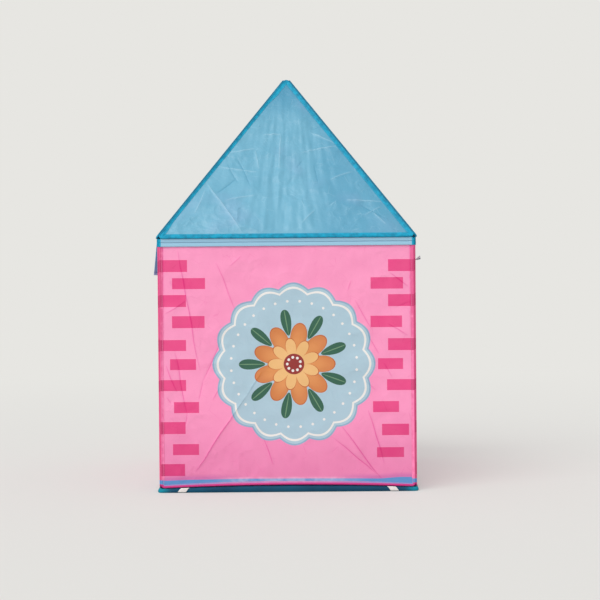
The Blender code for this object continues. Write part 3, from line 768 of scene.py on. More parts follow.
def cut_folds(bm, folds):
    """Cut every fold's crest and its two feet into the faces that it crosses."""
    for points, _ in folds:
        for start, far in zip(points, points[1:]):
            start, far = Vector((*start, 0)), Vector((*far, 0))
            along = (far - start).normalized()
            side = Vector((-along.y, along.x, 0))
            length = (far - start).length
            near = []
            for face in bm.faces:
                away = face.verts[0].co - start
                if abs(away.dot(side)) < 0.008 and -0.004 < away.dot(along) < length + 0.004:
                    near.append(face)
            parts = list({part for face in near for part in (face, *face.verts, *face.edges)})
            for beside in (0.0, -CREASE, CREASE):
                parts = bmesh.ops.bisect_plane(
                    bm, geom=parts, dist=0.0003, plane_co=start + side * beside, plane_no=side
                )["geom"]


def panel_mesh(name, bm, relief, folds=()):
    """Write the UV places, raise the relief and mark the crests."""
    cloth = bm.loops.layers.uv.new("cloth")
    for face in bm.faces:
        for loop in face.loops:
            loop[cloth].uv = loop.vert.co.xy
    mesh = bpy.data.meshes.new(name)
    bm.to_mesh(mesh)
    bm.free()
    spots = np.empty(len(mesh.vertices) * 3)
    mesh.vertices.foreach_get("co", spots)
    spots = spots.reshape(-1, 3)
    spots[:, 2] = relief(spots[:, 0], spots[:, 1])
    mesh.vertices.foreach_set("co", spots.ravel())
    crest = mesh.attributes.new("crest", "FLOAT", "POINT")
    crest.data.foreach_set("value", crest_strength(spots[:, 0], spots[:, 1], folds))
    mesh.update()
    mesh.shade_smooth()
    return mesh


# %% [markdown]
# ## The printed walls
# All four walls are cut alike: pink polyester with a column of printed bricks down each
# side and a blue band along the foot. The brick courses are plain rectangles, so the shader
# draws each one as a rectangle of its own, at its measured place. Only the front carries a
# large round badge. It is a plain rosette in scalloped grey blue, drawn from polar sums.

# %% Courses of printed bricks, as (low, high, from, to) in metres
LEFT_BRICKS = [
    (0.6412, 0.6760, -0.45, -0.2884), (0.5914, 0.6233, -0.3324, -0.2366),
    (0.5396, 0.5745, -0.45, -0.2923), (0.4782, 0.5131, -0.3335, -0.2391),
    (0.4118, 0.4438, -0.45, -0.2935), (0.3564, 0.3883, -0.3405, -0.2650),
    (0.2955, 0.3275, -0.45, -0.2946), (0.2312, 0.2632, -0.3301, -0.2574),
    (0.1704, 0.2054, -0.45, -0.2972), (0.1090, 0.1410, -0.3342, -0.2586),
    (0.0481, 0.0831, -0.45, -0.2998),
]
RIGHT_BRICKS = [
    (0.6387, 0.6735, 0.2947, 0.45), (0.5881, 0.6215, 0.2436, 0.3378),
    (0.5371, 0.5719, 0.2940, 0.45), (0.4764, 0.5098, 0.2427, 0.3341),
    (0.4093, 0.4442, 0.2930, 0.45), (0.3544, 0.3863, 0.2636, 0.3362),
    (0.2931, 0.3251, 0.2893, 0.45), (0.2294, 0.2614, 0.2481, 0.3236),
    (0.1622, 0.1954, 0.2738, 0.3522), (0.0983, 0.1274, 0.2587, 0.3372),
]


def brick_mask(finish, across, height):
    """1 where a brick is printed."""
    covered = 0.0
    for low, high, start, far in LEFT_BRICKS + RIGHT_BRICKS:
        inside = finish.math("COMPARE", height, (low + high) / 2, (high - low) / 2)
        inside *= finish.math("COMPARE", across, (start + far) / 2, (far - start) / 2)
        covered = finish.math("MAXIMUM", inside, covered)
    return covered


print(len(LEFT_BRICKS) + len(RIGHT_BRICKS), "bricks on a wall")

# %% A rosette for the front
BADGE_MIDDLE = (0.0195, 0.3715)
FIELD, FIELD_EDGE, IVORY = screen(176, 203, 217), screen(146, 178, 203), screen(240, 236, 232)
PETAL, PETAL_TIP, INNER_PETAL = screen(226, 150, 92), screen(196, 108, 62), screen(240, 190, 128)
HEART, LEAF, LEAF_VEIN = screen(150, 52, 50), screen(52, 98, 78), screen(112, 150, 116)
PETALS, LEAF_RING, LEAF_HALF_LENGTH = 9, 0.122, 0.038


def add_rosette(finish, across, height, ground):
    """Paint the badge over the wall's colour, from its outer edge inwards."""
    x, y = across - BADGE_MIDDLE[0], height - BADGE_MIDDLE[1]
    radius = finish.math("SQRT", x * x + y * y)
    angle = finish.math("ARCTAN2", y, x)

    def wave(count, turn=0.0):
        return abs(finish.math("COSINE", angle * (count / 2) + turn))

    def from_spoke(count, ring):
        """How far a point lies from the nearest spoke, along a ring."""
        turns = finish.math("FRACT", angle * (count / math.tau))
        return (turns - 0.5) * (math.tau * ring / count)

    def dots(count, ring, size):
        arc, out = from_spoke(count, ring), radius - ring
        return finish.math("SQRT", arc * arc + out * out) < size

    def bloom(turn, reach, narrow):
        return wave(PETALS, turn) ** 0.55 * (reach * (1 - narrow)) + reach * narrow

    scallop = wave(16) * 0.016 + 0.221
    colour = finish.mix(radius < scallop, ground, FIELD_EDGE)
    colour = finish.mix(radius < scallop - 0.005, colour, FIELD)
    line = finish.math("COMPARE", scallop - radius, 0.0155, 0.0032)
    colour = finish.mix(line, colour, IVORY)
    colour = finish.mix(dots(32, 0.183, 0.0038), colour, IVORY)
    along_leaf = (radius - LEAF_RING) / LEAF_HALF_LENGTH
    swelling = finish.math("SQRT", finish.math("MAXIMUM", 0.0, 1.0 - along_leaf ** 2.0))
    beside_leaf = abs(from_spoke(PETALS, LEAF_RING))
    colour = finish.mix(beside_leaf < swelling * 0.0145, colour, LEAF)
    colour = finish.mix(beside_leaf < swelling * 0.0014, colour, LEAF_VEIN)
    outer = bloom(0.0, 0.121, 0.42)
    colour = finish.mix(radius < outer, colour, PETAL_TIP)
    streak = finish.ramp(radius / outer, 0.55, 0.97)
    petal = finish.mix(streak, PETAL, finish.mix(0.5, PETAL, PETAL_TIP))
    colour = finish.mix(radius < outer - 0.0035, colour, petal)
    inner = bloom(math.pi / 2, 0.077, 0.45)
    colour = finish.mix(radius < inner, colour, PETAL_TIP)
    colour = finish.mix(radius < inner - 0.003, colour, INNER_PETAL)
    colour = finish.mix(radius < 0.030, colour, HEART)
    return finish.mix(dots(PETALS, 0.0195, 0.0040), colour, IVORY)


print("rosette of two rings of", PETALS, "petals at", BADGE_MIDDLE)

# %% [markdown]
# ## The colour of a wall
# The pink is painted darker towards the ground, as painted shade. Next to the binding the seam
# allowance shows through as a mottled strip. The blue band along the foot is a soft curve: its
# ink bleeds into the pink at the sides, and in the middle a painted highlight makes it pale.
# Along the folds the colour is darkened as painted shade, together with hair lines of bruised
# coating.

# %% Finishes of the walls
PINK_LIGHT = (0.66, 0.42, 0.52, 1)      # what lamplight keeps on its way through the cloth
# the pale pink and the pale blue are painted highlight for the middle of the foot band
HEM_BLEED, HEM_PAINTED_HIGHLIGHT, HEM_BLUE_PAINTED_HIGHLIGHT = screen(170, 84, 168), screen(250, 196, 228), screen(196, 206, 236)
HEM_TOP, HEM_DROP = 0.0365, 0.0045      # the blue band's edge, and how far its ends hang


def wall_finish(name, badge):
    """Pink taffeta with its print."""
    finish = Finish(name, roughness=0.46, specular=0.4, lamplight=PINK_LIGHT)
    cloth = finish.read("cloth")
    across, height = finish.split(cloth)
    lines = add_taffeta(finish, cloth)
    # painted shade: the pink and the bricks turn darker towards the ground
    lit = finish.ramp(height, 0.02, 0.30)
    pink, brick = finish.mix(lit, PINK_IN_PAINTED_SHADE, PINK), finish.mix(lit, BRICK_IN_PAINTED_SHADE, BRICK)
    colour = finish.mix(brick_mask(finish, across, height), pink, brick)
    if badge:
        colour = add_rosette(finish, across, height, colour)
    mottled = finish.ramp(finish.speckle(cloth, 70.0, 2.0), 0.30, 0.70) * 0.3 + 0.2
    seam = finish.ramp(abs(across), 0.3535, 0.3595) * finish.ramp(height, 0.36, 0.60) * mottled
    colour = finish.mix(seam, colour, finish.shaded(colour, 0.88, 1.6))

    top = (across / WALL_HALF) ** 2.0 * -HEM_DROP + finish.speckle(cloth, 4.0, 1.0) * 0.005
    top += finish.ramp(across, 0.255, 0.335) * 0.005 + HEM_TOP
    over = height - top
    beside = finish.ramp(abs(across), 0.10, 0.24)
    bleed = beside * (1.0 - finish.ramp(over, 0.002, 0.018)) * 0.42
    colour = finish.mix(bleed, colour, HEM_BLEED)
    # painted highlight: the middle of the blue band, and the pink just above it, are made pale
    painted_shine = (1.0 - beside) * finish.ramp(finish.speckle(cloth, 26.0, 2.0), 0.3, 0.7)
    painted_gloss = painted_shine * (1.0 - finish.ramp(over, 0.001, 0.008)) * 0.7
    colour = finish.mix(painted_gloss, colour, HEM_PAINTED_HIGHLIGHT)
    blue = finish.mix(painted_shine * 0.75, HEM_BLUE, HEM_BLUE_PAINTED_HIGHLIGHT)
    colour = finish.mix(1.0 - finish.ramp(over, -0.0005, 0.0005), colour, blue)

    # painted shade along the folds; the hair lines of bruised coating mixed in are real wear
    crest = abs(finish.read("crest", "Fac")) ** 1.5
    fold_painted_shade_and_wear = finish.math("MAXIMUM", crest, lines * 0.25) * 0.9
    colour = finish.mix(fold_painted_shade_and_wear, colour, finish.shaded(colour, 0.82, 1.35))
    return finish.done(finish.patchy(cloth, colour, 14.0, 0.3, 0.955, 1.03))


front_print = wall_finish("front_print", badge=True)
wall_print = wall_finish("wall_print", badge=False)
print("wall finishes:", front_print.name, wall_print.name)


# %% Relief of the walls
def beside_door(x, y):
    return 0.235 < abs(x) < 0.34 or (y > 0.625 and abs(x) < 0.3)


def on_wall(x, y):
    return abs(x) < 0.33


def round_window(x, y):
    return on_wall(x, y) and not (abs(x) < 0.245 and 0.3 < y < 0.63)


WALL_FOLDS = {
    "front": kinked(FRONT_FOLDS, 3),
    "right": kinked(bag_folds(11, 18, beside_door), 5),
    "back": kinked(bag_folds(23, 28, on_wall), 7),
    "left": kinked(bag_folds(37, 24, round_window), 9),
}
CELLS = {"front": 0.004, "right": 0.005, "back": 0.005, "left": 0.005}
HOLES = {"right": DOOR, "left": WINDOW}


def hole_distance(x, y, corners):
    """How far a point lies outside a hole's rounded outline, and below 0 inside it."""
    half, low, high = corners[1][0], corners[0][1], corners[2][1]
    above = y - (high + low) / 2
    radius = np.where(above > 0, corners[2][2], corners[0][2])
    beside = np.abs(x) - half + radius
    above = np.abs(above) - (high - low) / 2 + radius
    outside = np.hypot(np.maximum(beside, 0), np.maximum(above, 0))
    return outside + np.minimum(np.maximum(beside, above), 0) - radius


def wall_relief(side):
    """The height function of a wall's cloth over its plane."""
    number = SIDES.index(side)

    def relief(x, y):
        beside, above, under = WALL_HALF - np.abs(x), WALL_HEAD - y, y - WALL_FOOT
        edge = np.minimum(beside, np.minimum(above, under - HEM_RISE))
        held = smooth(edge, 0.0075, 0.032)
        height = fold_height(x, y, WALL_FOLDS[side])
        height += 0.0016 * swell(x, y, number + 1, 0.13) + 0.0006 * swell(x, y, number + 9, 0.035)
        pull = 0.0011 * swell(x, y * 0.18, number + 5, 0.020)
        height += pull * np.exp(-above / 0.05) + pull * np.exp(-under / 0.06)
        drag = 0.0009 * swell(x * 0.2, y, number + 15, 0.024)
        height += drag * np.exp(-beside / 0.045)
        if side in HOLES:
            held = held * smooth(hole_distance(x, y, HOLES[side]), 0.010, 0.035)
        return held * np.clip(height, -0.0035, 0.0045)

    return relief


# %% Make the walls
half, low, high = WALL_HALF - EDGE_TO_WIRE, WALL_FOOT + EDGE_TO_WIRE, WALL_HEAD - EDGE_TO_WIRE
for number, side in enumerate(SIDES):
    cut = flat_panel(half, low, high, CELLS[side])
    for vert in cut.verts:
        rise = HEM_RISE * (1 - (vert.co.x / WALL_HALF) ** 2)
        vert.co.y += rise * (high - vert.co.y) / (high - low)
    for hand in (-1, 1):
        for up, middle in ((1, WALL_HEAD - WALL_CORNER), (-1, WALL_FOOT + WALL_CORNER)):
            slant = Vector((hand, up)).normalized()
            corner = Vector((hand * (WALL_HALF - WALL_CORNER), middle))
            trim(cut, corner + slant * (WALL_CORNER - EDGE_TO_WIRE), slant)
    cut_folds(cut, WALL_FOLDS[side])
    if side in HOLES:
        spots = np.array([face.calc_center_median() for face in cut.faces])
        inside = hole_distance(spots[:, 0], spots[:, 1], HOLES[side]) < 0.004
        doomed = [face for face, gone in zip(cut.faces[:], inside) if gone]
        bmesh.ops.delete(cut, geom=doomed, context="FACES")
    mesh = panel_mesh(side + "_wall_panel", cut, wall_relief(side), WALL_FOLDS[side])
    dress(
        mesh, front_print if side == "front" else wall_print, BODIES[side],
        side + "_wall_cloth", wall_place(number), CLOTH,
    )
    print(side, "wall:", len(mesh.vertices), "points")

# %% [markdown]
# ## Bindings round the wire
# The cloth is sewn into a folded tape that runs round each hoop. Seen from outside it is a
# round bead, where the wire is, and a flat leg with a row of stitches close to its edge.
# The tape is gathered a little by its own stitches, so both the bead and the leg ripple.
# The brick print runs on under the pink tape, which darkens it there, as the photograph
# shows down both front corners.

# %% Section of a binding
BEAD_INSIDE = 0.0022
BEAD_SHRINK = 0.00025


def binding_section(binding, taut, facets=9):
    """(outwards, sideways, distance from the sewn edge), round the folded tape. A taut tape
    runs straight from its stitches to the bead, and the other one hugs the wire."""
    end = BEAD_RADIUS - binding
    front = [(end + out, LEG_INNER + up) for out, up in (
        (0.0, 0.00010), (0.00008, 0.00030), (0.0003, 0.00045), (0.0008, 0.0005), (0.0016, 0.0005),
        (0.0024, 0.00035), (0.0031, 0.0005), (0.0037, 0.0006),
    )]                                  # the folded edge, and the dent of the stitches
    if taut:
        front.append((end + 0.0041, LEG_OUTER - 0.0001))
        away, lean = math.hypot(*front[-1]), math.atan2(front[-1][1], front[-1][0])
        start = lean - math.acos(BEAD_RADIUS / away)
        tangent = Vector((math.cos(start), math.sin(start))) * BEAD_RADIUS
        front += [tuple(Vector(front[-1]).lerp(tangent, share)) for share in (0.12, 0.5, 0.88)]
    else:
        neck = math.sqrt(BEAD_RADIUS**2 - LEG_OUTER**2)
        front += [
            (share * end - (1 - share) * neck, LEG_OUTER - 0.0001) for share in (0.6, 0.3, 0.08)
        ]
        start = math.atan2(LEG_OUTER, -neck)
    for step in range(facets + 1):
        angle = start * (1 - step / facets)
        front.append((BEAD_RADIUS * math.cos(angle), BEAD_RADIUS * math.sin(angle)))
    away = section_measure(front)
    front = [(*point, reach) for point, reach in zip(front, away)]
    back = [(out, -up, reach) for out, up, reach in reversed(front[:-1])]
    start = math.atan2(LEG_INNER, -math.sqrt(BEAD_INSIDE**2 - LEG_INNER**2))
    inner = [(end + 0.0002, -LEG_INNER, 0.0)]
    for step in range(9):
        angle = start * (step / 4 - 1)
        inner.append((BEAD_INSIDE * math.cos(angle), BEAD_INSIDE * math.sin(angle), 0.0))
    return front + back + inner + [(end + 0.0002, LEG_INNER, 0.0)]


def binding_pucker(seed, depth=0.00022, pinch=0.0):
    """Gathers of the tape: the legs ripple, and the bead only ever shrinks. A pinch is where
    a loose bit of the sleeve stands out, on the left hip just under the tip."""
    shift = Vector((seed * 3.7, seed * 1.3, 0))

    def pucker(turn, point, spot):
        around = Vector((math.cos(turn), math.sin(turn), 0))
        if point[0] < LEG_START:
            leg = min(1, (LEG_START - point[0]) / 0.005)
            return 0.0, depth * leg * noise.noise(around * 46 + shift)
        tuck = 0.5 + 0.5 * noise.noise(around * 38 + shift)
        size = math.hypot(point[0], point[1])
        loose = pinch * math.exp(-((spot.y - 0.583) / 0.011) ** 2) * (spot.x < 0)
        out = loose * (1 + point[0] / BEAD_RADIUS) / 2
        out -= BEAD_SHRINK * tuck * max(0, point[0]) / size
        return out, -BEAD_SHRINK * tuck * point[1] / size

    return pucker


# %% Finish of a sewn tape
STITCH, THREAD, RIB = 0.0034, 0.00064, 0.0009
LEG_PINK, LEG_ROSE = screen(255, 142, 190), screen(242, 118, 168)
BEAD_TEAL_PAINTED_SHADE, EDGE_TEAL_PAINTED_LIGHT = screen(0, 104, 134), screen(60, 170, 204)


def tape_finish(
    name, colour, mottle_and_painted_groove_shade, stitch_at, stitch_colour, bricks=False, hips=False, roughness=0.5
):
    """Folded polyester tape with ribs, a lockstitch row, mottling, and painted shade and light."""
    finish = Finish(name, roughness=roughness, specular=0.24)
    along, inwards = finish.split(finish.read("run"))
    place = finish.read("cloth")
    across, height = finish.split(place)
    soft = finish.speckle(place, 60.0)
    cloudy = finish.ramp(soft, 0.3, 0.7)
    shade = finish.mix(cloudy, colour, mottle_and_painted_groove_shade)
    if bricks:
        leg = 1.0 - finish.ramp(inwards, 0.0064, 0.0104)
        upper = finish.ramp(height, 0.30, 0.55) * finish.ramp(soft, 0.15, 0.50)
        pale = finish.mix(cloudy, LEG_PINK, LEG_ROSE)
        shade = finish.mix(leg * (1.0 - upper * 0.85), shade, pale)
        hem = finish.mix(finish.ramp(inwards, 0.0036, 0.0046), HEM_BLUE, MAGENTA)
        shade = finish.mix(finish.ramp(height, 0.022, 0.036), hem, shade)
        beside = finish.ramp(abs(across), WALL_HALF - 0.009, WALL_HALF - 0.0075)
        strip = finish.ramp(height, 0.0235, 0.0250) * (1.0 - finish.ramp(height, 0.0350, 0.0375))
        shade = finish.mix(beside * strip, shade, HEM_BLUE)
        shade = finish.mix(brick_mask(finish, across, height), shade, EDGE_BRICK)
        shade = finish.mix(finish.ramp(height, 0.7140, 0.7146), shade, TEAL)
    if hips:
        # painted shade on the hip's outer bead, which turns away from the light
        turned = finish.ramp(inwards, 0.0105, 0.0155) * finish.ramp(height, 0.004, 0.02)
        shade = finish.mix(turned * 0.8, shade, BEAD_TEAL_PAINTED_SHADE)
        # painted light on the thin inner edge, where light comes through the tape
        thin = 1.0 - finish.ramp(inwards, 0.0010, 0.0055)
        shade = finish.mix(thin * 0.25, shade, EDGE_TEAL_PAINTED_LIGHT)
    from_row = abs(inwards + (soft - 0.5) * 0.0008 - stitch_at)
    beat = finish.math("FRACT", along / STITCH)
    dash = finish.ramp(beat, 0.06, 0.16) * (1.0 - finish.ramp(beat, 0.78, 0.9))
    thread = dash * (from_row < THREAD / 2)
    # painted shade: the dent along the row of stitches is darkened
    groove = finish.ramp(from_row, 0.0, 0.0011)
    shade = finish.mix((1.0 - groove) * 0.15, shade, mottle_and_painted_groove_shade)
    finish.raise_by(finish.speckle(place, 130.0, 2.0), 0.0004, 0.6)
    finish.raise_by(finish.math("SINE", inwards * (math.tau / RIB)), 0.00004, 0.4)
    finish.raise_by(groove, 0.0002, 0.6)
    finish.raise_by(thread, 0.0001, 0.6)
    return finish.done(finish.mix(thread, shade, stitch_colour))


wall_tape = tape_finish(
    "wall_tape", EDGE_PINK, screen(228, 92, 146), 0.0024, screen(246, 150, 192), bricks=True
)
roof_tape = tape_finish(
    "roof_tape", TEAL, TEAL_MOTTLE_AND_PAINTED_SHADE, 0.0024, screen(60, 172, 200), hips=True
)
print("tapes:", wall_tape.name, roof_tape.name)

# %% Make the bindings
def half_folded(spot):
    """The front roof's left leg has turned under, so only half of it shows."""
    return float(spot.x < 0) * smooth(spot.y, 0.012, 0.07) * smooth(0.575 - spot.y, 0.0, 0.05)


wall_section = binding_section(WALL_BINDING, taut=True)
roof_section = binding_section(ROOF_BINDING, taut=False)
for number, side in enumerate(SIDES):
    mesh = swept(
        side + "_wall_binding", wall_outline(), wall_section, 0.006, binding_pucker(number)
    )
    dress(
        mesh, wall_tape, BODIES[side], side + "_wall_sleeve", wall_place(number)
    )
    pinch, slim = (0.0045, half_folded) if side == "front" else (0.0, None)
    mesh = swept(
        side + "_roof_binding", roof_outline(), roof_section, 0.006,
        binding_pucker(number + 10, 0.0003, pinch), slim,
    )
    dress(
        mesh, roof_tape, side + "_roof", side + "_roof_sleeve", roof_place(number)
    )

# %% [markdown]
# ## The roof
# The four triangles are the thinnest cloth on the tent and the most crumpled. Besides the
# sharp folds, soft flutes run down from the tip, where the cloth is gathered between the two
# hips. They are long bumps of noise that lie closer together the nearer they are to the tip.

# %% Finish of the roof
BLUE_LIGHT = (0.42, 0.56, 0.64, 1)
CREST_SKY_PAINTED_HIGHLIGHT, MAUVE_SKY = screen(184, 220, 236), screen(150, 172, 208)


def roof_finish():
    """Sky blue taffeta, with painted shade at the tip and on the right. Its folds have painted
    highlights on their crests and painted shade in their hollows; the wash is a little mauve in
    places."""
    finish = Finish("roof_cloth", roughness=0.40, specular=0.45, lamplight=BLUE_LIGHT)
    cloth = finish.read("cloth")
    across, height = finish.split(cloth)
    lines = add_taffeta(finish, cloth, 0.0016)
    colour = finish.mix(finish.ramp(height, 0.05, 0.50), SKY_LIGHT, SKY)
    # painted shade: the blue turns darker towards the tip and towards the right
    colour = finish.mix(finish.ramp(height, 0.42, 0.60), colour, SKY_IN_PAINTED_SHADE)
    colour = finish.mix(finish.ramp(across, 0.03, 0.17) * 0.6, colour, SKY_IN_PAINTED_SHADE)
    # painted highlight on raised crests, with pale hair lines of bruised coating as real wear;
    # painted shade in hollows
    crest = finish.read("crest", "Fac")
    raised = finish.math("MAXIMUM", crest, 0.0) ** 1.2
    raised = finish.math("MAXIMUM", raised, lines * 0.6)
    hollow = finish.math("MAXIMUM", crest * -1.0, 0.0) ** 1.2
    colour = finish.mix(raised * 0.42, colour, CREST_SKY_PAINTED_HIGHLIGHT)
    colour = finish.mix(hollow * 0.45, colour, TEAL_MOTTLE_AND_PAINTED_SHADE)
    mauve = finish.ramp(finish.speckle(cloth, 5.5, 2.0), 0.5, 0.75) * 0.30
    colour = finish.mix(mauve, colour, MAUVE_SKY)
    return finish.done(finish.patchy(cloth, colour, 12.0, 0.25, 0.94, 1.05))


roof_cloth = roof_finish()
print("roof finish:", roof_cloth.name)


# %% Relief of the roof
def in_roof(x, y):
    return y > 0.03 and abs(x) < (ROOF_TIP - y) * ROOF_HALF / ROOF_TIP - 0.05


ROOF_FOLDS = {"front": kinked(FRONT_ROOF_FOLDS, 13)}
for side, seed in (("right", 51), ("back", 63), ("left", 77)):
    ROOF_FOLDS[side] = kinked(bag_folds(seed, 18, in_roof), 13 + 2 * SIDES.index(side))


def roof_relief(side):
    """The height function of a roof triangle over its plane."""
    number = SIDES.index(side)
    tip = math.atan2(ROOF_HALF, ROOF_TIP)

    def relief(x, y):
        hip = (ROOF_TIP - y) * math.sin(tip) - np.abs(x) * math.cos(tip)
        held = smooth(np.minimum(hip, y), 0.0120, 0.040)
        height = 1.4 * fold_height(x, y, ROOF_FOLDS[side])
        height += 0.0022 * swell(x, y, number + 21, 0.12) + 0.0007 * swell(x, y, number + 31, 0.03)
        gathered = x * (1 + 0.9 * y / ROOF_TIP)
        flute = swell(gathered, y * 0.11, number + 41, 0.026)
        flute += 0.5 * swell(gathered, y * 0.16, number + 43, 0.013)
        middle = 0.18 + 0.82 * np.exp(-((x - 0.015) / 0.10) ** 2)
        height += 0.0042 * flute * middle * smooth(ROOF_TIP - y, 0.03, 0.25)
        return held * np.clip(height, -0.0055, 0.0065)

    return relief


# %% Make the roof
CORNER_CUT, TIP_CUT = 0.016, 0.0155     # the cloth stops short of the folded corners
for number, side in enumerate(SIDES):
    cut = flat_panel(ROOF_HALF, EDGE_TO_WIRE, ROOF_TIP, CELLS[side])
    for hand in (-1, 1):
        out = Vector((hand * ROOF_TIP, ROOF_HALF)).normalized()
        trim(cut, Vector((0, ROOF_TIP)) - out * EDGE_TO_WIRE, out)
        trim(cut, (hand * (ROOF_HALF - CORNER_CUT), 0), (hand, 0))
    trim(cut, (0, ROOF_TIP - TIP_CUT), (0, 1))
    cut_folds(cut, ROOF_FOLDS[side])
    mesh = panel_mesh(side + "_roof_panel", cut, roof_relief(side), ROOF_FOLDS[side])
    dress(
        mesh, roof_cloth, side + "_roof", side + "_roof_cloth",
        roof_place(number), CLOTH,
    )
    print(side, "roof:", len(mesh.vertices), "points")

# %% [markdown]
# ## The pale blue band under the eave
# A strip of lighter cloth covers the seam between each wall and its roof. It is folded
# double, with a seam along its middle that shows as a fine dark line, and its ends are
# bound in teal. It lies a hair outside the wall's binding, because both are pulled tight.

# %% Finish and mesh of the bands
BAND_LOW, BAND_HIGH = 0.7146, 0.7376
BAND_HALF = WALL_HALF + BEAD_RADIUS - CLOTH
BAND_SEAM, BAND_TRIM, BAND_CLOTH, BAND_END = 0.7262, 0.004, 0.0006, 0.0062
BAND_OUT = BEAD_RADIUS + TOUCH + BAND_CLOTH / 2


def band_finish():
    """Pale blue cloth with a seam along its middle and teal ends."""
    finish = Finish("eave_band", roughness=0.5, specular=0.4)
    cloth = finish.read("cloth")
    across, height = finish.split(cloth)
    add_taffeta(finish, cloth, 0.0002)
    wander = (finish.speckle(cloth, 22.0, 1.0) - 0.5) * 0.0016
    above = height + wander - BAND_SEAM
    colour = finish.mix(finish.ramp(above, -0.001, 0.001), PALE_BLUE, BAND_BLUE)
    colour = finish.mix(finish.ramp(abs(above), 0.0003, 0.0010), SEAM_BLUE, colour)
    finish.raise_by(finish.ramp(abs(above), 0.0, 0.0016), 0.0010)
    beat = finish.math("FRACT", across / STITCH)
    finish.raise_by(finish.ramp(beat, 0.7, 0.9), 0.0001, 0.5)
    end = finish.ramp(abs(across), BAND_HALF - BAND_END, BAND_HALF - BAND_END + 0.0006)
    return finish.done(finish.mix(end, colour, TEAL))


eave_band = band_finish()
for number, side in enumerate(SIDES):
    cut = flat_panel(BAND_HALF, BAND_LOW, BAND_HIGH, 0.002)
    for hand in (-1, 1):
        trim(cut, (hand * BAND_HALF, BAND_HIGH - BAND_TRIM), (hand, 1))

    def band_relief(x, y):
        hang = smooth(BAND_HIGH - y, 0.003, 0.020)
        return BAND_OUT + hang * 0.0002 * swell(x, y * 0.2, number + 61, 0.045)

    dress(
        panel_mesh(side + "_eave_strip", cut, band_relief), eave_band, BODIES[side],
        side + "_eave_band", wall_place(number), BAND_CLOTH,
    )
print("bands", round(2 * BAND_HALF, 4), "m long and", round(BAND_HIGH - BAND_LOW, 4), "m high")

# %% [markdown]
# ## The floor
# The floor is heavier coated cloth in deep teal. It has a stuffed roll all round that the
# walls stand on, and the roll's hem is sewn down on the edge of the sheet. Short white tapes
# tie the roll to the walls' hems. The sheet lies on the ground with low ripples.

# %% Finish of the floor
RIM_HALF, RIM_WIDTH, RIM_HEIGHT, RIM_CORNER, SHEET_HALF = 0.380, 0.024, 0.012, 0.014, 0.3557
DEEP_TEAL, CORNER_TEAL_OUT_OF_PAINTED_SHADE = screen(6, 60, 88), screen(0, 136, 158)


def floor_finish():
    """Dark coated cloth, lighter at the corners; the darker rest of each side is painted shade."""
    finish = Finish("floor_taffeta", roughness=0.6, specular=0.2)
    cloth = finish.read("cloth")
    add_taffeta(finish, cloth, 0.0006)
    colour = finish.mix(
        finish.ramp(finish.speckle(cloth, 9.0, 4.0), 0.3, 0.7), DEEP_TEAL, FLOOR_TEAL
    )
    # painted shade: away from the corners the teal stays dark, as under the walls' hems
    across, inwards = (finish.ramp(abs(way), 0.335, 0.372) for way in finish.split(cloth))
    return finish.done(finish.mix(across * inwards, colour, CORNER_TEAL_OUT_OF_PAINTED_SHADE))


floor_taffeta = floor_finish()
rim_tape = tape_finish(
    "rim_tape", screen(24, 108, 136), screen(18, 88, 116), 0.002, screen(66, 142, 168),
    roughness=0.55,
)
print("floor finishes:", floor_taffeta.name, rim_tape.name)


def crumple_with_fold(piece):
    """Give the piece its own copy of its mesh."""
    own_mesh(piece)


def floor_relief(x, y):
    edge = SHEET_HALF - np.maximum(np.abs(x), np.abs(y))
    held = smooth(edge, 0.012, 0.05)
    ripple = 0.5 + 0.5 * swell(x, y, 71, 0.10)
    crest = fold_height(x, y, FLOOR_FOLDS)
    return 0.0005 + held * np.clip(0.0022 * ripple**2 + np.abs(crest), 0, 0.005)


FLOOR_FOLDS = kinked([
    (x0, y0 - 0.35, x1, y1 - 0.35, millimetres) for x0, y0, x1, y1, millimetres
    in bag_folds(91, 22, lambda x, y: abs(x) < 0.31 and y < 0.62)
], 21)
cut = flat_panel(SHEET_HALF, -SHEET_HALF, SHEET_HALF, 0.006)
cut_folds(cut, FLOOR_FOLDS)
floor_panel = dress(
    panel_mesh("floor_panel", cut, floor_relief), floor_taffeta, "root",
    "floor_sheet", thickness=0.0009,
)
crumple_with_fold(floor_panel)
print("floor sheet", round(2 * SHEET_HALF, 3), "m square")

# %% The roll and its hem
ROLL_SHARES = [
    (0.10, 0.0), (0.02, 0.17), (0.0, 0.50), (0.06, 0.79), (0.13, 0.93), (0.24, 1.0),
    (0.56, 0.97), (0.80, 0.72), (0.94, 0.44), (1.0, 0.18), (0.97, 0.0),
]
rounded = []
for one, other in zip(ROLL_SHARES, ROLL_SHARES[1:]):
    for share in (0.25, 0.75):
        rounded.append([a + (b - a) * share for a, b in zip(one, other)])
rounded = [ROLL_SHARES[0]] + rounded[1:-1] + [ROLL_SHARES[-1]]
roll = [(-across * RIM_WIDTH, up * RIM_HEIGHT) for across, up in rounded]
roll = [(*point, reach) for point, reach in zip(roll, section_measure(roll))]
ROLL_RISE = 0.0062


def roll_rise(along):
    """The roll is fuller in the middle of a side, where the wall's hem bows up over it."""
    return ROLL_RISE * max(0.0, 1 - (along / WALL_HALF) ** 2)


def rim_tuck(turn, point, spot):
    """The roll is lumpy: it sinks a little here and there."""
    around = Vector((math.cos(turn) * 16, math.sin(turn) * 16, 0))
    sunk = 0.5 + 0.5 * noise.noise(around) + 0.25 * noise.noise(around * 3)
    up = point[1] / RIM_HEIGHT
    rise = roll_rise(min(abs(spot.x), abs(spot.y)))
    return -0.0009 * sunk * up * (1 - up), (rise - 0.0012 * sunk) * up


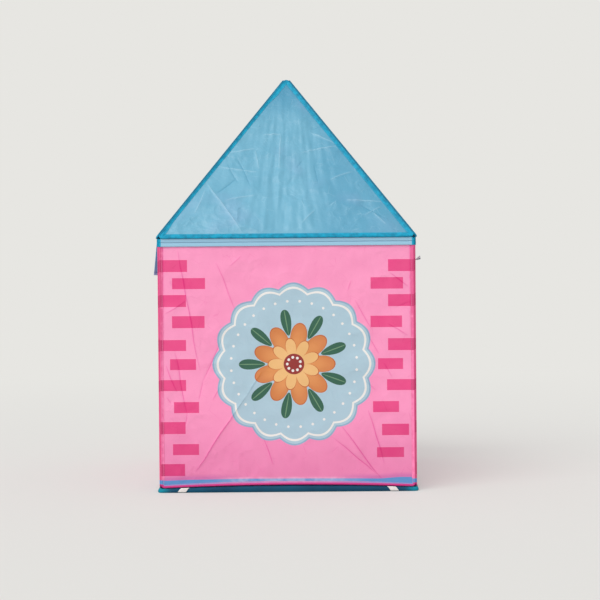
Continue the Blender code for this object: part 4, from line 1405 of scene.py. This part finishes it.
square = box_outline(RIM_HALF, -RIM_HALF, RIM_HALF, RIM_CORNER, RIM_CORNER)
rim_roll = dress(
    swept("floor_roll", square, roll, 0.007, rim_tuck), floor_taffeta, "root",
    "floor_rim",
)
strip = [
    (0.0, 0.0012, 0.0), (0.0, 0.0018, 0.0), (-0.0006, 0.0019, 0.0006),
    (-0.005, 0.0019, 0.005), (-0.0094, 0.0019, 0.0006),
    (-0.010, 0.0018, 0.0), (-0.010, 0.0012, 0.0), (-0.005, 0.0011, 0.005),
]
edge = box_outline(SHEET_HALF, -SHEET_HALF, SHEET_HALF, 0, 0)
rim_hem = dress(
    swept("floor_roll_hem", edge, strip, 0.010), rim_tape, "root", "floor_hem"
)
for piece in (rim_roll, rim_hem):
    crumple_with_fold(piece)
print("roll of", len(roll), "points round its section")

# %% [markdown]
# ## White tapes over the roll
# Eight short pieces of white cotton tape are sewn over the roll, two on a side, and splay
# towards the corners. Each follows the outer half of the roll from just under the wall's
# hem down to the ground.

# %% Make the tapes
WEAVE_GAP, HERRING_WIDTH = 0.0011, 0.004
WEBBING_SHADE = screen(188, 182, 180)


def webbing_finish(name, clean, soiled):
    """Herringbone: lines along the tape that lean one way and then the other."""
    finish = Finish(name, roughness=0.8, specular=0.2)
    run = finish.read("run")
    along, across = finish.split(run)
    lean = abs(finish.math("FRACT", across / HERRING_WIDTH) - 0.5) * 14.0
    herring = finish.math("SINE", along * (math.tau / WEAVE_GAP) + lean)
    finish.raise_by(herring, 0.00012, 0.6)
    soil = finish.ramp(finish.speckle(run, 90.0), 0.35, 0.85)
    colour = finish.mix(soil, clean, soiled)
    return finish.done(finish.mix((herring + 1.0) * 0.12, colour, WEBBING_SHADE))


white_webbing = webbing_finish("white_webbing", screen(236, 232, 228), screen(214, 208, 204))
TAPE_WIDTH, TAPE_CELLS, TAPE_SPLAY, TAPE_CLOTH = 0.024, 8, 0.010, 0.0008
TAPE_MIDDLE, TAPE_SHIFT = 0.375 - 0.074, 0.002
WEAVE_STEP, WEAVE_WIDTH = 0.0009, 0.020      # what the weave counts as a row and as the width
TAPE_LINE = []               # the outer half of the roll, half a tape's thickness outside it
roll_outline = [Vector((-across * RIM_WIDTH, up * RIM_HEIGHT)) for across, up in ROLL_SHARES[:6]]
for number in range(4, 0, -1):
    before = (roll_outline[number + 1] - roll_outline[number]).normalized()
    after = (roll_outline[number] - roll_outline[number - 1]).normalized()
    along = (before + after).normalized()
    out = Vector((along.y, -along.x)) * 0.0007 / along.dot(before)
    spot = roll_outline[number] + out
    TAPE_LINE.append((spot.x + RIM_HALF - WIRE_PLANE, max(spot.y, 0.0008)))
fine_line = [
    tuple(a + (b - a) * step / 4 for a, b in zip(one, other))
    for one, other in zip(TAPE_LINE, TAPE_LINE[1:]) for step in range(4)
] + [TAPE_LINE[-1]]
tapes = []
for number, side in enumerate(SIDES):
    for hand, end in ((-1, SIDES[number - 1]), (1, SIDES[(number + 1) % 4])):
        def tape_place(column, row):
            out, up = fine_line[row]
            splay = hand * (TAPE_MIDDLE + TAPE_SPLAY * row / (len(fine_line) - 1) - TAPE_SHIFT)
            across = splay + (column / TAPE_CELLS - 0.5) * TAPE_WIDTH
            return across, up * (1 + roll_rise(across) / RIM_HEIGHT), out

        mesh = roll_grid(
            side + "_" + end + "_ribbon", TAPE_CELLS, len(fine_line) - 1, tape_place,
            lambda column, row: (row * WEAVE_STEP, column / TAPE_CELLS * WEAVE_WIDTH),
            closed=False,
        )
        tapes.append(dress(
            mesh, white_webbing, "root", side + "_" + end + "_tape",
            wall_place(number), TAPE_CLOTH,
        ))
        crumple_with_fold(tapes[-1])
print(len(tapes), "tapes, each", round(line_length(TAPE_LINE) * 1000, 1), "mm long")

# %% [markdown]
# ## The door
# The photograph doesn't show the doorway, so it has what such tents have: an edging sewn
# over the cut cloth, and two half curtains that hang from seams at its sides and can be
# tied back. The curtains hang in soft upright folds, which start at the seam and deepen
# towards the middle, with a turned hem along the foot.

# %% Edging of the doorway and the window
def edging_section():
    """(outwards, sideways, distance from the sewn edge), round a tape folded over the cut."""
    front = [
        (0.0090, 0.0009), (0.0086, 0.0013), (0.0078, 0.0014), (0.0068, 0.0012),
        (0.0058, 0.0014), (0.0024, 0.0014), (-0.0003, 0.0014), (-0.0008, 0.0010), (-0.0010, 0.0),
    ]
    reach = section_measure(front)
    front = [(*point, away) for point, away in zip(front, reach)]
    back = [(out, -up, away) for out, up, away in reversed(front[:-1])]
    return front + back + [
        (0.0088, -LEG_INNER, 0), (-0.0003, -LEG_INNER, 0),
        (-0.0003, LEG_INNER, 0), (0.0088, LEG_INNER, 0),
    ]


edging_tape = tape_finish(
    "edging_tape", EDGE_PINK, screen(206, 58, 124), 0.0020, screen(240, 120, 170)
)
for name, corners, side, node in (
    ("doorway_edging", DOOR, "right", "door_edging"),
    ("window_opening_edging", WINDOW, "left", "window_edging"),
):
    dress(
        swept(name, corners, edging_section(), 0.006), edging_tape, BODIES[side],
        node, wall_place(SIDES.index(side)),
    )
print("edging round the doorway and the window")


# %% Curtains
HEM_DEPTH = 0.012


def add_hem(finish, from_row, colour, seam_colour, fine):
    """A turned hem: its row of stitches, and the dent that they make."""
    finish.raise_by(finish.ramp(from_row, 0.0, 0.0012), 0.0005)
    return finish.mix(finish.ramp(from_row, 0.0003, fine), seam_colour, colour)


def curtain_finish():
    """The walls' pink without their print, and a turned hem along the foot."""
    finish = Finish("curtain_cloth", roughness=0.46, specular=0.4, lamplight=PINK_LIGHT)
    cloth = finish.read("cloth")
    up = finish.split(finish.read("run"))[1]
    add_taffeta(finish, cloth)
    # painted shade: the curtain's pink turns darker towards its foot, as on the walls
    colour = finish.mix(finish.ramp(up, 0.0, 0.3), PINK_IN_PAINTED_SHADE, PINK)
    colour = add_hem(finish, abs(up - HEM_DEPTH), colour, EDGE_PINK, 0.0008)
    return finish.done(finish.patchy(cloth, colour, 14.0, 0.3, 0.955))


curtain_cloth = curtain_finish()
CURTAIN_OUT, CURTAIN_SEAM, CURTAIN_COLUMNS, CURTAIN_ROWS = 0.0021, 0.184, 72, 110
CURTAIN_WIDTH, CURTAIN_TOP, CURTAIN_FOOT, CURTAIN_ROUND = 0.183, 0.612, 0.036, 0.064
CURTAIN_RUN, CURTAIN_FOLDS = 0.57, 3
for hand, end in ((-1, "front"), (1, "back")):
    def curtain_place(column, row):
        across, up = column / CURTAIN_COLUMNS, row / CURTAIN_ROWS
        from_seam = across * CURTAIN_WIDTH
        short = max(CURTAIN_ROUND - from_seam, 0)
        head = CURTAIN_TOP - CURTAIN_ROUND + math.sqrt(CURTAIN_ROUND**2 - short**2)
        height = CURTAIN_FOOT + up * (head - CURTAIN_FOOT)
        deepest = min(0.007, from_seam * 0.12)
        drift = 0.12 * noise.noise(Vector((across * 2, up * 1.5, hand * 5)))
        turn = math.tau * CURTAIN_FOLDS * (across + drift * across * (1 - across))
        fine = noise.noise(Vector((from_seam / 0.018, height / 0.16, hand * 3)))
        fold = deepest * (1 - math.cos(turn)) / 2
        fold += 0.0009 * (0.5 + 0.5 * fine) * min(1, from_seam / 0.03)
        return hand * (CURTAIN_SEAM - from_seam), height, CURTAIN_OUT + min(fold, 0.0078)

    mesh = roll_grid(
        end + "_half_curtain", CURTAIN_COLUMNS, CURTAIN_ROWS, curtain_place,
        lambda column, row: (
            column / CURTAIN_COLUMNS * CURTAIN_WIDTH, row / CURTAIN_ROWS * CURTAIN_RUN
        ), closed=False,
    )
    node = "door_" + end + "_curtain"
    dress(mesh, curtain_cloth, node, node, wall_place(1), CLOTH)

# %% Ties beside the doorway
TIE_WIDTH, TIE_LENGTH, TIE_FOOT, TIE_BESIDE = 0.012, 0.090, 0.240, 0.194
TIE_COLUMNS, TIE_ROWS = 6, 40
for hand, end in ((-1, "front"), (1, "back")):
    def tie_place(column, row):
        x = hand * (TIE_BESIDE + column / TIE_COLUMNS * TIE_WIDTH)
        y = TIE_FOOT + row / TIE_ROWS * TIE_LENGTH
        sway = 0.0006 * noise.noise(Vector((y * 40, hand * 3, column * 0.3)))
        return x, y, 0.0011 + (0.0006 + sway) * (1 - row / TIE_ROWS)

    mesh = roll_grid(
        end + "_tie_ribbon", TIE_COLUMNS, TIE_ROWS, tie_place,
        lambda column, row: (row / TIE_ROWS * TIE_LENGTH, column / TIE_COLUMNS * TIE_WIDTH),
        closed=False,
    )
    dress(
        mesh, white_webbing, "right_wall", "door_" + end + "_tie",
        wall_place(1), TAPE_CLOTH,
    )

# %% [markdown]
# ## The window and its valance
# On the left side there is an open window below the eave, and above it hangs the short pale
# valance whose edge the photograph just shows past the front corner. It is gathered along
# the eave, so it waves at its lower edge.

# %% Valance
VALANCE_HALF, VALANCE_TOP, VALANCE_DROP, VALANCE_HEM = WALL_HALF - 0.012, 0.733, 0.100, 0.6415
VALANCE_PALE, VALANCE_DEEP = screen(186, 222, 240), screen(172, 212, 234)


def valance_finish():
    """Thin pale blue cloth that lets some light through."""
    finish = Finish("valance_cloth", roughness=0.48, specular=0.4, through=0.5)
    cloth = finish.read("cloth")
    height = finish.split(cloth)[1]
    add_taffeta(finish, cloth, 0.0003)
    soft = finish.ramp(finish.speckle(cloth, 16.0), 0.2, 0.8)
    colour = finish.mix(soft, VALANCE_PALE, VALANCE_DEEP)
    from_row = abs(height - VALANCE_HEM)
    return finish.done(add_hem(finish, from_row, colour, SEAM_BLUE, 0.0009))


valance_cloth = valance_finish()
VALANCE_NEAR = BAND_OUT + BAND_CLOTH / 2 + TOUCH + CLOTH / 2
VALANCE_COLUMNS, VALANCE_ROWS, VALANCE_RUN, VALANCE_WAVES = 150, 20, 0.71, 6


def valance_place(column, row):
    across, down = column / VALANCE_COLUMNS, 1 - row / VALANCE_ROWS
    turn = math.tau * VALANCE_WAVES * across + 1.2 * math.sin(9 * across)
    wave = 0.0025 * down * math.sin(turn)
    fine = 0.0006 * down * noise.noise(Vector((across * 55, down, 2.0)))
    out = VALANCE_NEAR + 0.0090 * down + wave + fine
    return (2 * across - 1) * VALANCE_HALF, VALANCE_TOP - down * VALANCE_DROP, out


mesh = roll_grid(
    "eave_valance", VALANCE_COLUMNS, VALANCE_ROWS, valance_place,
    lambda column, row: (
        column / VALANCE_COLUMNS * VALANCE_RUN, row / VALANCE_ROWS * VALANCE_DROP
    ), closed=False,
)
valance = dress(
    mesh, valance_cloth, "left_wall", "window_valance", wall_place(3), CLOTH
)
print("valance", round(2 * VALANCE_HALF, 3), "m long")

# %% [markdown]
# ## The seam tab
# A short loop of white tape, painted grey as painted shade, is sewn into the right wall's front
# edge, just below the eave.
# It is a plain folded strip that springs open a little at its fold, and it has twisted, so
# that its upper side turns to the front.

# %% Fold the tab
TAB_LENGTH, TAB_TAPE, TAB_OPEN, TAB_HEIGHT = 0.014, 0.016, 0.0019, 0.6709
TAB_LEG = 0.42                # each leg's share of the folded strip
TAB_COLUMNS, TAB_ROWS = 8, 24


def tab_place(column, row):
    turn = row / TAB_ROWS
    reach = TAB_LENGTH * 0.97
    if TAB_LEG <= turn <= 1 - TAB_LEG:
        bend = (turn - TAB_LEG) / (1 - 2 * TAB_LEG) * math.pi
        out, side = reach + 0.0004 * math.sin(bend), TAB_OPEN * math.cos(bend)
    else:
        leg, hand = (turn, 1) if turn < TAB_LEG else (1 - turn, -1)
        out = reach * leg / TAB_LEG
        side = hand * TAB_OPEN * math.sin(math.pi * leg / TAB_LEG / 2)
    rise = TAB_HEIGHT + out / TAB_LENGTH * 0.0075 + side
    twist, wide = 0.45 * out / TAB_LENGTH, (column / TAB_COLUMNS - 0.5) * TAB_TAPE
    along = -WALL_HALF + 0.008 + wide * math.cos(twist)
    return along, rise + wide * math.sin(twist), BEAD_RADIUS + TOUCH + out


mesh = roll_grid(
    "folded_tab", TAB_COLUMNS, TAB_ROWS, tab_place,
    lambda column, row: (row / TAB_ROWS * 2 * TAB_LENGTH, column / TAB_COLUMNS * TAB_TAPE),
    closed=False,
)
# painted shade: the white tape is given grey colours
white_ribbon_in_painted_shade = webbing_finish("white_ribbon_in_painted_shade", screen(176, 176, 184), screen(150, 150, 160))
tab = dress(
    mesh, white_ribbon_in_painted_shade, "right_wall", "seam_tab", wall_place(1), thickness=0.0007
)
print("tab stands out to", round(max(v.co.x for v in mesh.vertices), 4))

# %% [markdown]
# ## Spring steel
# The hoops and their crimped ferrules are hidden in the sleeves, but they are real parts of
# the model and keep their CAD meshes. They get the finish of plain wire: bluish steel with a
# fine grain and a few darker marks.

# %% Finish the steel
steel = Finish("spring_steel_wire", roughness=0.34, specular=0.5)
steel.shader.inputs["Metallic"].default_value = 1.0
coords = steel.get("TexCoord", {}, "Object")
marks = steel.ramp(steel.speckle(coords, 60.0, 4.0), 0.35, 0.7)
steel.raise_by(steel.speckle(coords, 900.0, 2.0), 0.00003, 0.5)
spring_steel = steel.done(steel.mix(marks, screen(196, 200, 206), screen(150, 156, 166)))
for side in SIDES:
    for part in ("wall_hoop", "wall_ferrule", "roof_hoop", "roof_ferrule"):
        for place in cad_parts[side + "_" + part].material_slots:
            place.material = spring_steel
print("steel on", 4 * len(SIDES), "hoops and ferrules")

panel = (2 * (WALL_HALF - EDGE_TO_WIRE), WALL_HEAD - WALL_FOOT - 2 * EDGE_TO_WIRE)
holes = {"right": 0.360 * 0.555, "left": 0.420 * 0.250}      # the doorway and the window
for side in SIDES:
    side + "_wall_hoop"
    panel[0] * panel[1] - holes[side] if side in holes else None
    side + "_roof_hoop"
    side + "_wall_binding"

# %% Measure the sizes at the end
low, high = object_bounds()
sizes = {
    "cad": [[float(v) for v in cad_low], [float(v) for v in cad_high]],
    "visual": [[float(v) for v in low], [float(v) for v in high]],
}
print("visual box from", [round(v, 4) for v in low], "to", [round(v, 4) for v in high])
